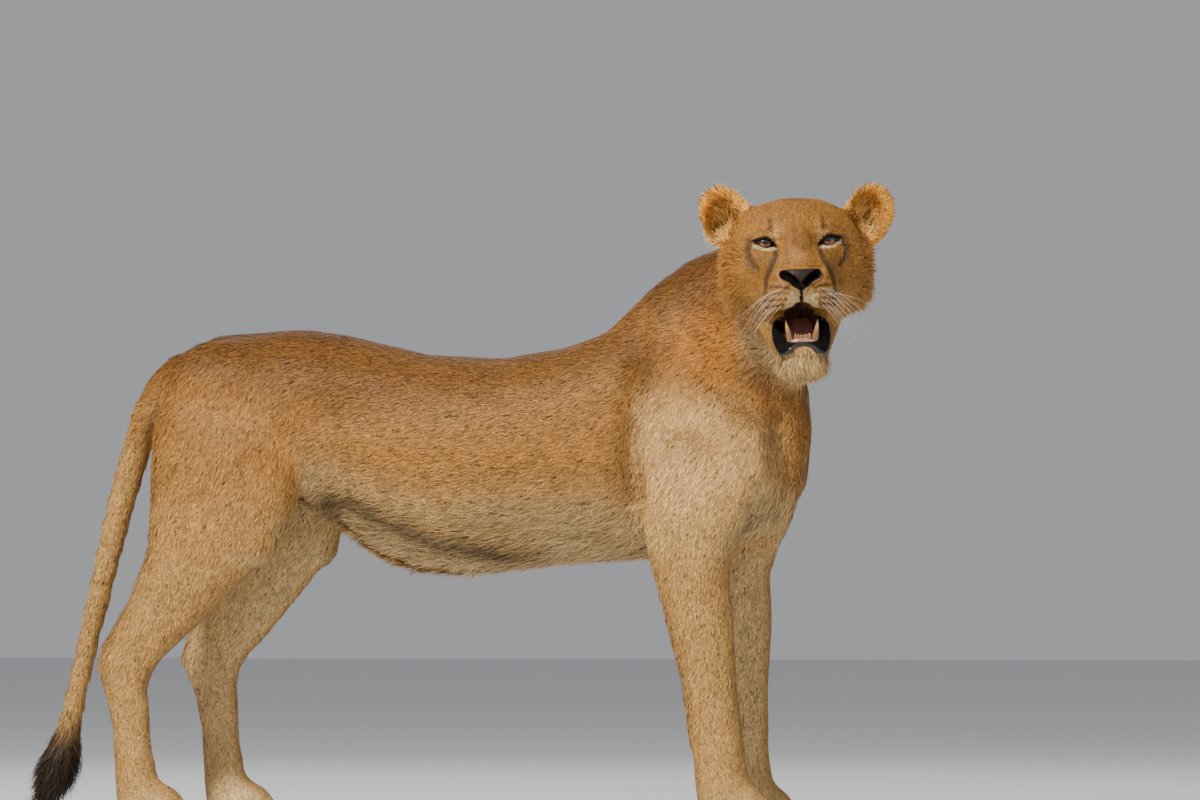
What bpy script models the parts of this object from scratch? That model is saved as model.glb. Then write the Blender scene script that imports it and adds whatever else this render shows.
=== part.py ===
"""A life-size lioness that stands on level ground: the body points along +X, its left side is +Y, and the
head is turned a right angle to the right, with the mouth a little open.

The flesh is modelled whole, from lofted sections and muscle masses, fused and thinned out, and then parted
with thin cuts into the pieces that a person would name. Eyes, ears, tongue and teeth are made on their own.
Lengths are metres. Places are first given in a frame whose floor is z = 0 and whose mid-line is y = 0,
and at the end everything is moved so that the middle of the box under the feet is the origin.
"""

import math

import bmesh
import bpy
import numpy as np
from mathutils import Matrix, Vector

# Driving sizes.
GAP = 0.0003  # between pieces that touch
HEAD_THINNING = 0.80  # how readily triangles go there, against 1 elsewhere
PAW_THINNING = 0.85
VOXEL = 0.0048  # grain of the fused flesh
FLESH_TRIANGLES = 3740
RING = 28  # points round a section
CHEST_HALF = 0.160  # half the width of the rib cage
FORE_SPREAD = 0.116  # from the mid-line to a fore paw
HIND_SPREAD = 0.100
EYE_RADIUS = 0.0185
EYE_SPACING = 0.1010  # between the eyes' middles
EYE_DEPTH = 0.013  # of the eyes' middles ahead of the head's own origin
EYE_DROP = 0.0129  # and below it
HEAD_PLACE = Vector((0.629, -0.247, 0.9835))  # the head's own origin, inside the brow
HEAD_TURN = math.radians(-167.2)  # about the vertical, from looking along +Y
HEAD_PITCH = math.radians(-1.0)  # nose up
HEAD_ROLL = math.radians(2.5)


def clear_scene():
    for obj in list(bpy.data.objects):
        bpy.data.objects.remove(obj, do_unlink=True)


# ---------------------------------------------------------------- materials
def material(name, colour, roughness):
    made = bpy.data.materials.get(name)
    if made is None:
        made = bpy.data.materials.new(name)
        made.use_nodes = True
        shader = made.node_tree.nodes["Principled BSDF"]
        shader.inputs["Base Color"].default_value = (*colour, 1.0)
        shader.inputs["Roughness"].default_value = roughness
        shader.inputs["Metallic"].default_value = 0.0
        made.diffuse_color = (*colour, 1.0)
    return made


def coat():
    return material("tawny_coat", (0.50, 0.29, 0.12), 0.85)


def pale_coat():
    return material("pale_coat", (0.72, 0.57, 0.38), 0.85)


def tail_coat():
    return material("sandy_tail_coat", (0.46, 0.30, 0.16), 0.85)


def ear_coat():
    return material("orange_ear_coat", (0.55, 0.27, 0.08), 0.85)


def nose_leather():
    return material("nose_leather", (0.07, 0.05, 0.05), 0.5)


def eye_gloss():
    return material("amber_eye", (0.22, 0.10, 0.02), 0.1)


def ivory():
    return material("ivory_tooth", (0.80, 0.66, 0.42), 0.35)


def tongue_flesh():
    return material("tongue_flesh", (0.50, 0.20, 0.18), 0.5)


# ---------------------------------------------------------------- shape helpers
def smooth_rows(rows, count):
    """The rows of a table read along a Catmull-Rom curve at this many places."""
    table = np.array(rows, float)
    padded = np.vstack([2 * table[0] - table[1], table, 2 * table[-1] - table[-2]])
    places = np.linspace(0, len(table) - 1, count)
    first = np.minimum(places.astype(int), len(table) - 2)
    t = (places - first)[:, None]
    a, b, c, d = (padded[first + i] for i in range(4))
    return 0.5 * (2 * b + (c - a) * t + (2 * a - 5 * b + 4 * c - d) * t**2 + (3 * b - 3 * c + d - a) * t**3)


def mesh_object(name, vertices, faces):
    mesh = bpy.data.meshes.new(name)
    mesh.from_pydata([tuple(v) for v in vertices], [], faces)
    mesh.validate()
    obj = bpy.data.objects.new(name, mesh)
    bpy.context.scene.collection.objects.link(obj)
    return obj


def tube_between(name, rings):
    """A closed tube through rings of equal length, with a flat cap at each end."""
    count = len(rings[0])
    vertices = [point for ring in rings for point in ring]
    faces = [
        (i * count + j, i * count + (j + 1) % count, (i + 1) * count + (j + 1) % count, (i + 1) * count + j)
        for i in range(len(rings) - 1)
        for j in range(count)
    ]
    faces.append(tuple(reversed(range(count))))
    faces.append(tuple(range((len(rings) - 1) * count, len(rings) * count)))
    obj = mesh_object(name, vertices, faces)
    outward(obj)
    return obj


def outward(obj):
    work = bmesh.new()
    work.from_mesh(obj.data)
    bmesh.ops.recalc_face_normals(work, faces=work.faces)
    if work.calc_volume(signed=True) < 0:
        bmesh.ops.reverse_faces(work, faces=work.faces)
    work.to_mesh(obj.data)
    work.free()


def rounded(angle, power):
    """A point of a superellipse of this power."""
    s, c = math.sin(angle), math.cos(angle)
    return math.copysign(abs(s) ** (2 / power), s), math.copysign(abs(c) ** (2 / power), c)


def trunk_loft(name, rows, count=44):
    """Rows hold x, top, bottom, half width, height of the widest place, and the power of the lower half."""
    rings = []
    for x, top, bottom, half, widest, low in smooth_rows(rows, count):
        ring = []
        for k in range(RING):
            angle = 2 * math.pi * k / RING
            upper = math.cos(angle) > 0
            side, up = rounded(angle, 2.15 if upper else low)
            ring.append((x, half * side, widest + up * ((top - widest) if upper else (widest - bottom))))
        rings.append(ring)
    return tube_between(name, rings)


def level_loft(name, rows, count=40):
    """A limb of level sections. Rows hold height, front x, rear x, y of the middle and half width."""
    rings = []
    for z, front, rear, y, half in smooth_rows(rows, count):
        middle, reach = (front + rear) / 2, (front - rear) / 2
        rings.append(
            [
                (middle + reach * up, y + half * side, z)
                for side, up in (rounded(2 * math.pi * k / RING, 2.2) for k in range(RING))
            ]
        )
    return tube_between(name, rings)


def path_loft(name, rows, count=40, side=Vector((0, 1, 0)), ring=RING):
    """A bent tube. Rows hold the middle, the reach across the bend and the half width along side."""
    table = smooth_rows(rows, count)
    middles = [Vector(row[:3]) for row in table]
    rings = []
    for i, row in enumerate(table):
        along = (middles[min(i + 1, count - 1)] - middles[max(i - 1, 0)]).normalized()
        across = along.cross(side).normalized()
        level = across.cross(along).normalized()
        rings.append(
            [
                middles[i] + across * row[3] * math.cos(a) + level * row[4] * math.sin(a)
                for a in (2 * math.pi * k / ring for k in range(ring))
            ]
        )
    return tube_between(name, rings)


def mass(name, middle, radii, lean=0.0, swing=0.0, roll=0.0, segments=24):
    """An ellipsoid. Lean turns it about Y, swing about Z and roll about X, in degrees."""
    obj = bpy.data.objects.new(name, bpy.data.meshes.new(name))
    bpy.context.scene.collection.objects.link(obj)
    turn = (
        Matrix.Rotation(math.radians(swing), 4, "Z")
        @ Matrix.Rotation(math.radians(lean), 4, "Y")
        @ Matrix.Rotation(math.radians(roll), 4, "X")
    )
    work = bmesh.new()
    bmesh.ops.create_uvsphere(
        work,
        u_segments=segments,
        v_segments=segments // 2,
        radius=1.0,
        matrix=Matrix.Translation(middle) @ turn @ Matrix.Diagonal((*radii, 1.0)),
    )
    work.to_mesh(obj.data)
    work.free()
    return obj


def bar(name, start, end, first, last):
    """A round bar with ball ends, from one radius to another, as a chain of sections."""
    start, end = Vector(start), Vector(end)
    along = (end - start).normalized()
    side = along.orthogonal().normalized()
    up = along.cross(side)
    rings = []
    for k in range(1, 6):  # round end
        a = math.pi / 2 * (1 - k / 6)
        rings.append((start - along * first * math.sin(a), first * math.cos(a)))
    rings += [(start, first), (end, last)]
    for k in range(1, 6):
        a = math.pi / 2 * k / 6
        rings.append((end + along * last * math.sin(a), last * math.cos(a)))
    points = [
        [c + (side * math.cos(a) + up * math.sin(a)) * r for a in (2 * math.pi * j / 16 for j in range(16))]
        for c, r in rings
    ]
    return tube_between(name, points)


def mirrored(obj, axis=0):
    """A copy on the other side of the plane through the origin."""
    copy = obj.copy()
    copy.data = obj.data.copy()
    bpy.context.scene.collection.objects.link(copy)
    flip = [1.0, 1.0, 1.0]
    flip[axis] = -1.0
    copy.data.transform(Matrix.Diagonal((*flip, 1.0)))
    outward(copy)
    return copy


def fused(name, pieces):
    """The pieces joined into one object. Their shells still overlap."""
    work = bmesh.new()
    for piece in pieces:
        work.from_mesh(piece.data)
    mesh = bpy.data.meshes.new(name)
    work.to_mesh(mesh)
    work.free()
    for piece in pieces:
        bpy.data.objects.remove(piece, do_unlink=True)
    obj = bpy.data.objects.new(name, mesh)
    bpy.context.scene.collection.objects.link(obj)
    return obj


def apply_modifiers(obj):
    bpy.context.view_layer.update()
    graph = bpy.context.evaluated_depsgraph_get()
    done = bpy.data.meshes.new_from_object(obj.evaluated_get(graph), depsgraph=graph)
    obj.modifiers.clear()
    obj.data = done
    return obj


def remeshed(obj, voxel, rounds, factor=0.5):
    """The overlapping shells as one skin, softened."""
    grain = obj.modifiers.new("grain", "REMESH")
    grain.mode = "VOXEL"
    grain.voxel_size = voxel
    soft = obj.modifiers.new("soft", "SMOOTH")
    soft.factor = factor
    soft.iterations = rounds
    return apply_modifiers(obj)


def cut(obj, cutter, keep_cutter=False, operation="DIFFERENCE"):
    saw = obj.modifiers.new("cut", "BOOLEAN")
    saw.operation = operation
    saw.solver = "EXACT"
    saw.object = cutter
    apply_modifiers(obj)
    if not keep_cutter:
        bpy.data.objects.remove(cutter, do_unlink=True)
    return obj


def inflated(obj, by):
    """A copy pushed outwards along its normals."""
    copy = obj.copy()
    copy.data = obj.data.copy()
    bpy.context.scene.collection.objects.link(copy)
    work = bmesh.new()
    work.from_mesh(copy.data)
    work.normal_update()
    moves = [(v, v.normal.copy()) for v in work.verts]
    for v, normal in moves:
        v.co += normal * by
    work.to_mesh(copy.data)
    work.free()
    return copy


def placed(objects, matrix):
    for obj in objects:
        obj.data.transform(matrix)
    return objects


def head_matrix():
    return (
        Matrix.Translation(HEAD_PLACE)
        @ Matrix.Rotation(HEAD_TURN, 4, "Z")
        @ Matrix.Rotation(HEAD_PITCH, 4, "X")
        @ Matrix.Rotation(HEAD_ROLL, 4, "Y")
    )


# ---------------------------------------------------------------- trunk and neck
def trunk():
    body = trunk_loft(
        "trunk",
        [
            (-0.478, 0.772, 0.690, 0.030, 0.735, 2.0),
            (-0.450, 0.798, 0.640, 0.070, 0.725, 2.0),
            (-0.410, 0.818, 0.600, 0.100, 0.715, 2.0),
            (-0.350, 0.834, 0.578, 0.122, 0.710, 2.0),
            (-0.280, 0.8400, 0.566, 0.132, 0.705, 2.0),
            (-0.220, 0.8395, 0.548, 0.130, 0.695, 2.0),
            (-0.160, 0.829, 0.500, 0.131, 0.680, 1.8),
            (-0.110, 0.817, 0.463, 0.136, 0.655, 1.8),
            (-0.050, 0.803, 0.442, 0.146, 0.635, 1.8),
            (0.020, 0.795, 0.436, CHEST_HALF * 0.98, 0.625, 1.9),
            (0.100, 0.794, 0.445, CHEST_HALF, 0.625, 1.9),
            (0.180, 0.807, 0.454, CHEST_HALF * 0.97, 0.625, 1.9),
            (0.260, 0.830, 0.460, CHEST_HALF * 0.92, 0.630, 1.9),
            (0.340, 0.862, 0.464, CHEST_HALF * 0.84, 0.635, 1.9),
            (0.420, 0.862, 0.474, CHEST_HALF * 0.77, 0.640, 2.0),
            (0.490, 0.830, 0.495, CHEST_HALF * 0.70, 0.645, 2.0),
            (0.550, 0.800, 0.525, CHEST_HALF * 0.60, 0.655, 2.0),
            (0.597, 0.775, 0.570, CHEST_HALF * 0.40, 0.672, 2.0),
        ],
    )
    return [
        body,
        mass("croup", (-0.345, 0, 0.765), (0.125, 0.075, 0.072)),
        mass("loin", (-0.10, 0, 0.735), (0.20, 0.085, 0.070)),
        mass("breast", (0.524, 0, 0.665), (0.085, 0.088, 0.140)),
        mass("hump", (0.338, 0, 0.790), (0.085, 0.062, 0.085), lean=-38),
    ]


def neck():
    """Its sections stand across a path that rises from the shoulders and bends to the right."""
    return [
        path_loft(
            "neck",
            [
                (0.296, 0.000, 0.655, 0.135, 0.118),
                (0.364, 0.000, 0.720, 0.148, 0.112),
                (0.427, -0.002, 0.778, 0.156, 0.106),
                (0.491, -0.014, 0.832, 0.150, 0.100),
                (0.543, -0.042, 0.868, 0.126, 0.096),
                (0.580, -0.085, 0.893, 0.109, 0.092),
                (0.598, -0.135, 0.908, 0.094, 0.084),
            ],
            side=Vector((0.25, 0.97, 0)),
        )
    ]


# ---------------------------------------------------------------- legs
FORE_ROWS = [  # height, front, rear and half width of the right foreleg
    (0.640, 0.540, 0.380, 0.046),
    (0.590, 0.548, 0.362, 0.052),
    (0.540, 0.532, 0.352, 0.054),
    (0.490, 0.508, 0.352, 0.053),
    (0.437, 0.493, 0.366, 0.050),
    (0.388, 0.499, 0.380, 0.047),
    (0.320, 0.504, 0.397, 0.043),
    (0.250, 0.507, 0.415, 0.040),
    (0.190, 0.516, 0.422, 0.042),
    (0.145, 0.519, 0.431, 0.040),
    (0.100, 0.527, 0.435, 0.043),
    (0.060, 0.540, 0.440, 0.047),
    (0.030, 0.545, 0.448, 0.040),
]
HIND_ROWS = [  # height, front, rear, half width and y of the right hind leg, which is stretched back
    (0.740, -0.262, -0.462, 0.050, 0.074),
    (0.690, -0.242, -0.479, 0.060, 0.084),
    (0.640, -0.232, -0.483, 0.062, 0.092),
    (0.580, -0.228, -0.484, 0.060, 0.097),
    (0.525, -0.243, -0.485, 0.056, 0.100),
    (0.474, -0.283, -0.491, 0.051, 0.101),
    (0.447, -0.304, -0.499, 0.048, 0.101),
    (0.409, -0.340, -0.515, 0.044, 0.100),
    (0.376, -0.375, -0.533, 0.040, 0.100),
    (0.345, -0.407, -0.552, 0.037, 0.100),
    (0.315, -0.442, -0.568, 0.035, 0.100),
    (0.285, -0.472, -0.574, 0.035, 0.100),
    (0.250, -0.487, -0.565, 0.033, 0.100),
    (0.200, -0.485, -0.552, 0.031, 0.100),
    (0.150, -0.480, -0.547, 0.031, 0.100),
    (0.100, -0.471, -0.544, 0.034, 0.100),
    (0.060, -0.451, -0.541, 0.040, 0.100),
    (0.030, -0.440, -0.535, 0.036, 0.100),
]


def left_fore_shift(height):
    """The left foreleg stands a little further forward at the elbow than at the paw."""
    return 0.030 * min(1.0, max(0.0, (height - 0.15) / 0.35)) - 0.012 * max(0.0, 1 - height / 0.30)


def left_hind_shift(height):
    """The left hind leg stands under the hip: its knee is further forward and its foot more so."""
    return 0.100 * (1 - min(1.0, max(0.0, (height - 0.26) / 0.46))) ** 0.9


def foreleg(side):
    shift = left_fore_shift if side > 0 else (lambda height: 0.0)
    y = side * FORE_SPREAD
    rows = [(z, front + shift(z), rear + shift(z), y, half) for z, front, rear, half in FORE_ROWS]
    low = shift(0.0)
    return [
        level_loft("leg", rows),
        mass("blade", (0.428, side * 0.090, 0.738), (0.062, 0.036, 0.140), lean=-38, roll=side * 9),
        mass("shoulder_point", (0.493 + shift(0.5) * 0.5, side * 0.098, 0.626), (0.074, 0.052, 0.088), lean=20),
        mass("triceps", (0.418, side * 0.114, 0.600), (0.066, 0.046, 0.098), lean=28),
        mass("elbow", (0.394 + shift(0.5), side * 0.116, 0.505), (0.045, 0.042, 0.050)),
        mass("wrist_pad", (0.438 + shift(0.17), y, 0.168), (0.018, 0.020, 0.020)),
    ] + paw(0.505 + low, y, 1.0)


def hind_leg(side):
    shift = left_hind_shift if side > 0 else (lambda height: 0.0)
    rows = [(z, front + shift(z), rear + shift(z), side * y, half) for z, front, rear, half, y in HIND_ROWS]
    knee, hock, low = shift(0.49), shift(0.31), shift(0.0)
    y = side * HIND_SPREAD
    return [
        level_loft("leg", rows),
        mass("gluteal", (-0.352, side * 0.072, 0.735), (0.118, 0.064, 0.088), lean=12),
        mass("thigh", (-0.352 + shift(0.6) * 0.6, side * 0.098, 0.615), (0.116, 0.058, 0.118)),
        mass("knee", (-0.306 + knee, side * 0.104, 0.495), (0.042, 0.044, 0.050), lean=-20),
        mass("calf", (-0.422 + knee * 0.8, side * 0.100, 0.430), (0.052, 0.042, 0.085), lean=38),
        mass("heel", (-0.548 + hock, y, 0.302), (0.024, 0.023, 0.032), lean=12),
    ] + paw(-0.482 + low, y, 0.92)


def paw(x, y, scale):
    """A broad foot with four toes and a heel pad. Its sole lies just under the floor's level."""
    pieces = [
        mass("foot", (x + 0.008 * scale, y, 0.038), (0.062 * scale, 0.050 * scale, 0.042)),
        mass("instep", (x + 0.020 * scale, y, 0.060), (0.046 * scale, 0.042 * scale, 0.030), lean=24),
        mass("heel_pad", (x - 0.022 * scale, y, 0.020), (0.034 * scale, 0.038 * scale, 0.024)),
    ]
    for k, (ahead, aside) in enumerate(((0.046, -0.037), (0.062, -0.0135), (0.062, 0.0135), (0.046, 0.037))):
        toe = (x + ahead * scale, y + aside * scale, 0.024)
        pieces.append(mass("toe", toe, (0.030 * scale, 0.0150 * scale, 0.0275), swing=(k - 1.5) * 7, lean=-10))
    return pieces


# ---------------------------------------------------------------- tail
TAIL_ROWS = [  # middle, reach across the bend, half width
    (-0.400, 0.000, 0.765, 0.048, 0.046),
    (-0.448, 0.000, 0.768, 0.040, 0.038),
    (-0.487, 0.001, 0.742, 0.033, 0.031),
    (-0.514, 0.003, 0.700, 0.029, 0.027),
    (-0.533, 0.004, 0.650, 0.0265, 0.0255),
    (-0.553, 0.004, 0.585, 0.0255, 0.0245),
    (-0.569, 0.003, 0.520, 0.0240, 0.0230),
    (-0.586, 0.000, 0.450, 0.0225, 0.0215),
    (-0.602, -0.004, 0.380, 0.0215, 0.0205),
    (-0.618, -0.008, 0.310, 0.0205, 0.0195),
    (-0.632, -0.012, 0.245, 0.0195, 0.0190),
    (-0.643, -0.014, 0.190, 0.0220, 0.0210),
    (-0.655, -0.015, 0.140, 0.0300, 0.0280),
    (-0.672, -0.014, 0.100, 0.0270, 0.0250),
    (-0.690, -0.013, 0.072, 0.0120, 0.0110),
]


def tail():
    return [path_loft("tail", TAIL_ROWS, count=70)]


# ---------------------------------------------------------------- head, in its own frame
# The head's own frame: x to its right, y forward to the nose, z up.
def both(make):
    """A piece and its mirror image."""
    piece = make()
    return [piece, mirrored(piece)]


def head_loft(name, rows, count=40):
    """Rows hold y, top, bottom, half width, height of the widest place, and the powers above and below it."""
    rings = []
    for y, top, bottom, half, widest, high, low in smooth_rows(rows, count):
        ring = []
        for k in range(RING + 8):
            angle = 2 * math.pi * k / (RING + 8)
            upper = math.cos(angle) > 0
            side, up = rounded(angle, high if upper else low)
            ring.append((half * side, y, widest + up * ((top - widest) if upper else (widest - bottom))))
        rings.append(ring)
    return tube_between(name, rings)


def skull():
    """Brain case, face and upper jaw in one run of sections from the nape to the nose."""
    return [
        head_loft(
            "skull",
            [
                (-0.185, 0.002, -0.090, 0.050, -0.040, 2.2, 2.2),
                (-0.155, 0.038, -0.116, 0.083, -0.045, 2.3, 2.2),
                (-0.115, 0.055, -0.128, 0.100, -0.050, 2.5, 2.2),
                (-0.070, 0.061, -0.134, 0.1105, -0.058, 2.5, 2.1),
                (-0.030, 0.058, -0.134, 0.1115, -0.061, 2.4, 2.1),
                (0.000, 0.045, -0.131, 0.102, -0.064, 2.3, 2.2),
                (0.025, 0.023, -0.128, 0.083, -0.070, 2.1, 2.3),
                (0.050, 0.000, -0.122, 0.066, -0.079, 1.9, 2.5),
                (0.075, -0.021, -0.114, 0.056, -0.086, 1.8, 2.6),
                (0.098, -0.038, -0.106, 0.049, -0.087, 1.8, 2.6),
                (0.114, -0.050, -0.099, 0.038, -0.083, 1.9, 2.4),
                (0.124, -0.061, -0.089, 0.020, -0.075, 2.0, 2.0),
            ],
        ),
        mass("nose_end", (0, 0.106, -0.073), (0.0340, 0.025, 0.0195), roll=-12),
        mass("bridge", (0, 0.052, -0.021), (0.033, 0.072, 0.021), roll=-39),
    ]


def face_sides():
    pairs = [
        ("brow_ridge", (0.044, 0.002, 0.012), (0.034, 0.026, 0.015), dict(swing=-16, lean=8)),
        ("cheekbone", (0.076, -0.036, -0.044), (0.036, 0.060, 0.036), dict(swing=12)),
        ("jaw_muscle", (0.070, -0.070, -0.080), (0.043, 0.058, 0.056), dict()),
        ("lip_pad", (0.0285, 0.080, -0.094), (0.0295, 0.044, 0.030), dict(swing=8, lean=10)),
        ("lip_rear", (0.045, 0.038, -0.106), (0.018, 0.046, 0.026), dict(swing=10, roll=-10)),
    ]
    pieces = []
    for name, middle, radii, turns in pairs:
        pieces += both(lambda: mass(name, middle, radii, **turns))
    return pieces


def jaw():
    """The lower jaw, dropped open, from the hinge to the chin."""
    rows = [
        (0, -0.095, -0.102, 0.046, 0.076),
        (0, -0.055, -0.127, 0.046, 0.072),
        (0, -0.018, -0.151, 0.039, 0.063),
        (0, 0.018, -0.172, 0.033, 0.054),
        (0, 0.048, -0.187, 0.031, 0.048),
        (0, 0.074, -0.199, 0.032, 0.0425),
        (0, 0.092, -0.206, 0.022, 0.030),
    ]
    return [path_loft("jaw", rows, side=Vector((1, 0, 0)))]


def mouth_hollow():
    """What the open mouth leaves empty: a wedge that narrows to the hinge, arched at the front."""
    hollow = [
        mass("gape", (0, 0.066, -0.1335), (0.0360, 0.072, 0.0330), roll=-17),
        mass("cheek_gape", (0, 0.034, -0.1340), (0.0460, 0.046, 0.0260), roll=-22),
        mass("throat_hole", (0, 0.0, -0.124), (0.030, 0.050, 0.021), roll=-20),
    ]
    made = fused("mouth_hollow", hollow)
    return remeshed(made, 0.003, 2)


def eye_place(side):
    return Vector((side * EYE_SPACING / 2, EYE_DEPTH, -EYE_DROP))


def eye_opening(side):
    """The almond between the lids, as a cutter in front of the eyeball."""
    middle = eye_place(side) + Vector((0, 0.016, 0))
    return mass("eye_opening", middle, (0.0160, 0.026, 0.0085), lean=side * 7, swing=-side * 14, segments=16)


def eye_hollow(side):
    """The dip between brow, nose and cheekbone, hollowed before the flesh is softened."""
    middle = eye_place(side) + Vector((-side * 0.005, 0.036, -0.001))
    return mass("eye_hollow", middle, (0.029, 0.020, 0.0150), lean=side * 7, swing=-side * 14)


def head_flesh():
    return skull() + face_sides() + jaw()


# ---------------------------------------------------------------- the whole flesh
def thinned(obj):
    """Fewer triangles everywhere, but least so on the head and the paws."""
    inverse = head_matrix().inverted()
    group = obj.vertex_groups.new(name="plain")
    for v in obj.data.vertices:
        local = inverse @ v.co
        on_head = local.y > -0.13 and local.length < 0.30
        on_paw = v.co.z < 0.12
        group.add([v.index], HEAD_THINNING if on_head else PAW_THINNING if on_paw else 1.0, "REPLACE")
    fewer = obj.modifiers.new("fewer", "DECIMATE")
    fewer.vertex_group = "plain"
    fewer.vertex_group_factor = 1.0
    fewer.use_collapse_triangulate = True
    obj.data.calc_loop_triangles()
    fewer.ratio = FLESH_TRIANGLES / len(obj.data.loop_triangles)
    return apply_modifiers(obj)


def flesh():
    pieces = trunk() + neck() + tail()
    for side in (-1, 1):
        pieces += foreleg(side) + hind_leg(side)
    face = placed(head_flesh(), head_matrix())
    whole = remeshed(fused("flesh", pieces + face), VOXEL, 2)
    for hollow in placed([eye_hollow(-1), eye_hollow(1)], head_matrix()):
        cut(whole, hollow)
    whole = remeshed(whole, VOXEL, 6)
    cut(whole, placed([mouth_hollow()], head_matrix())[0])
    whole = thinned(remeshed(whole, VOXEL, 2))
    return cut(whole, ground())


def ground():
    """A block under the floor, which gives every sole a small flat."""
    block = bpy.data.objects.new("ground", bpy.data.meshes.new("ground"))
    bpy.context.scene.collection.objects.link(block)
    work = bmesh.new()
    bmesh.ops.create_cube(work, size=1.0, matrix=Matrix.Translation((0, 0, -0.1)) @ Matrix.Diagonal((3, 2, 0.2, 1)))
    work.to_mesh(block.data)
    work.free()
    return block


# ---------------------------------------------------------------- thin cuts
def shell(name, vertices, faces):
    """An open surface given the thickness of a gap."""
    saw = mesh_object(name, vertices, faces)
    outward(saw)
    thick = saw.modifiers.new("thick", "SOLIDIFY")
    thick.thickness = GAP
    thick.offset = 0.0
    return apply_modifiers(saw)


def disc(middle, across, radius):
    """A round thin cut through a point, square to a direction."""
    across = Vector(across).normalized()
    side = across.orthogonal().normalized()
    up = across.cross(side)
    angles = [2 * math.pi * k / 24 for k in range(24)]
    rim = [Vector(middle) + (side * math.cos(a) + up * math.sin(a)) * radius for a in angles]
    return shell("disc", rim, [tuple(range(24))])


def cup(outline, first, last, place, closed):
    """A thin cut round an outline, carried from one depth to another, with a floor at the first if closed."""
    count = len(outline)
    vertices = [place(a, b, depth) for depth in (first, last) for a, b in outline]
    faces = [(k, (k + 1) % count, count + (k + 1) % count, count + k) for k in range(count)]
    if closed:
        faces.append(tuple(range(count)))
    return shell("cup", vertices, faces)


def shoulder_cut(side):
    outline = [
        (0.338, 0.474), (0.330, 0.640), (0.338, 0.760), (0.380, 0.800), (0.440, 0.770), (0.520, 0.720),
        (0.575, 0.665), (0.615, 0.600), (0.615, 0.474),
    ]
    return cup(outline, side * 0.056, side * 0.30, lambda a, b, depth: (a, depth, b), True)


def thigh_cut(side):
    ahead = 0.030 if side > 0 else 0.0
    outline = [
        (-0.530, 0.455), (-0.530, 0.640), (-0.508, 0.705), (-0.455, 0.765), (-0.380, 0.790), (-0.295, 0.775),
        (-0.235 + ahead, 0.700), (-0.212 + ahead, 0.600), (-0.214 + ahead, 0.520), (-0.240 + ahead, 0.455),
    ]
    return cup(outline, side * 0.038, side * 0.30, lambda a, b, depth: (a, depth, b), True)


def level_cut(x, y, z, radius):
    return disc((x, y, z), (0, 0, 1), radius)


def jaw_cut():
    outline = [(0.160, -0.129), (0.034, -0.140), (-0.020, -0.131), (-0.066, -0.114), (-0.074, -0.190),
               (-0.060, -0.270), (0.160, -0.290)]
    return cup(outline, -0.150, 0.150, lambda a, b, depth: (depth, a, b), False)


def nose_cut():
    outline = [
        (0.0400 * side * (0.82 + 0.18 * up), -0.0735 + 0.0200 * up)
        for side, up in (rounded(2 * math.pi * k / 16, 2.4) for k in range(16))
    ]
    return cup(outline, 0.104, 0.180, lambda a, b, depth: (a, depth, b), True)


def thin_cuts():
    """Every cut through the flesh, each on its own so that none meets another."""
    in_head = placed([jaw_cut(), nose_cut()], head_matrix())
    cuts = in_head + [
        disc((0.573, -0.078, 0.890), (0.588, -0.683, 0.430), 0.175),
        disc((0.455, 0.0, 0.812), (0.614, 0.0, 0.789), 0.215),
        disc((0.165, 0.0, 0.640), (1, 0, 0), 0.30),
        disc((-0.150, 0.0, 0.640), (1, 0, 0), 0.30),
        disc((-0.5245, 0.003, 0.672), (-0.36, 0, -0.93), 0.034),
        disc((-0.5860, 0.000, 0.450), (-0.22, 0, -0.97), 0.045),
        disc((-0.6350, -0.012, 0.232), (-0.22, 0, -0.97), 0.045),
    ]
    for side in (-1, 1):
        low = left_hind_shift(0.0) if side > 0 else 0.0
        cuts += [shoulder_cut(side), thigh_cut(side)]
        cuts.append(level_cut(0.470, side * FORE_SPREAD, 0.186, 0.075))
        cuts.append(level_cut(-0.525 + low, side * HIND_SPREAD, 0.262, 0.072))
    return cuts


PIECES = {  # each piece of flesh and a place well inside it
    "head": (0.610, -0.160, 0.950),
    "lower_jaw": (0.650, -0.290, 0.790),
    "nose": (0.668, -0.364, 0.925),
    "neck": (0.510, -0.030, 0.860),
    "chest": (0.350, 0.0, 0.640),
    "belly": (0.010, 0.0, 0.620),
    "rump": (-0.300, 0.0, 0.720),
    "tail_upper": (-0.562, 0.003, 0.560),
    "tail_middle": (-0.612, -0.005, 0.340),
    "tail_tuft": (-0.655, -0.014, 0.130),
    "shoulder_right": (0.450, -0.110, 0.620),
    "shoulder_left": (0.460, 0.110, 0.620),
    "forearm_right": (0.450, -0.116, 0.330),
    "forearm_left": (0.470, 0.116, 0.330),
    "forepaw_right": (0.500, -0.116, 0.070),
    "forepaw_left": (0.490, 0.116, 0.070),
    "thigh_right": (-0.370, -0.095, 0.610),
    "thigh_left": (-0.340, 0.095, 0.610),
    "shank_right": (-0.470, -0.100, 0.370),
    "shank_left": (-0.400, 0.100, 0.370),
    "hind_foot_right": (-0.500, -0.100, 0.110),
    "hind_foot_left": (-0.410, 0.100, 0.110),
}
SLIVER = 2e-6  # cubic metres: what a cut leaves that is smaller than this is dropped


def middle_and_volume(mesh):
    work = bmesh.new()
    work.from_mesh(mesh)
    bmesh.ops.triangulate(work, faces=work.faces)
    total, middle = 0.0, Vector()
    for face in work.faces:
        a, b, c = (v.co for v in face.verts)
        share = a.dot(b.cross(c)) / 6
        total += share
        middle += (a + b + c) / 4 * share
    work.free()
    return (middle / total if total else middle), total


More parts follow.
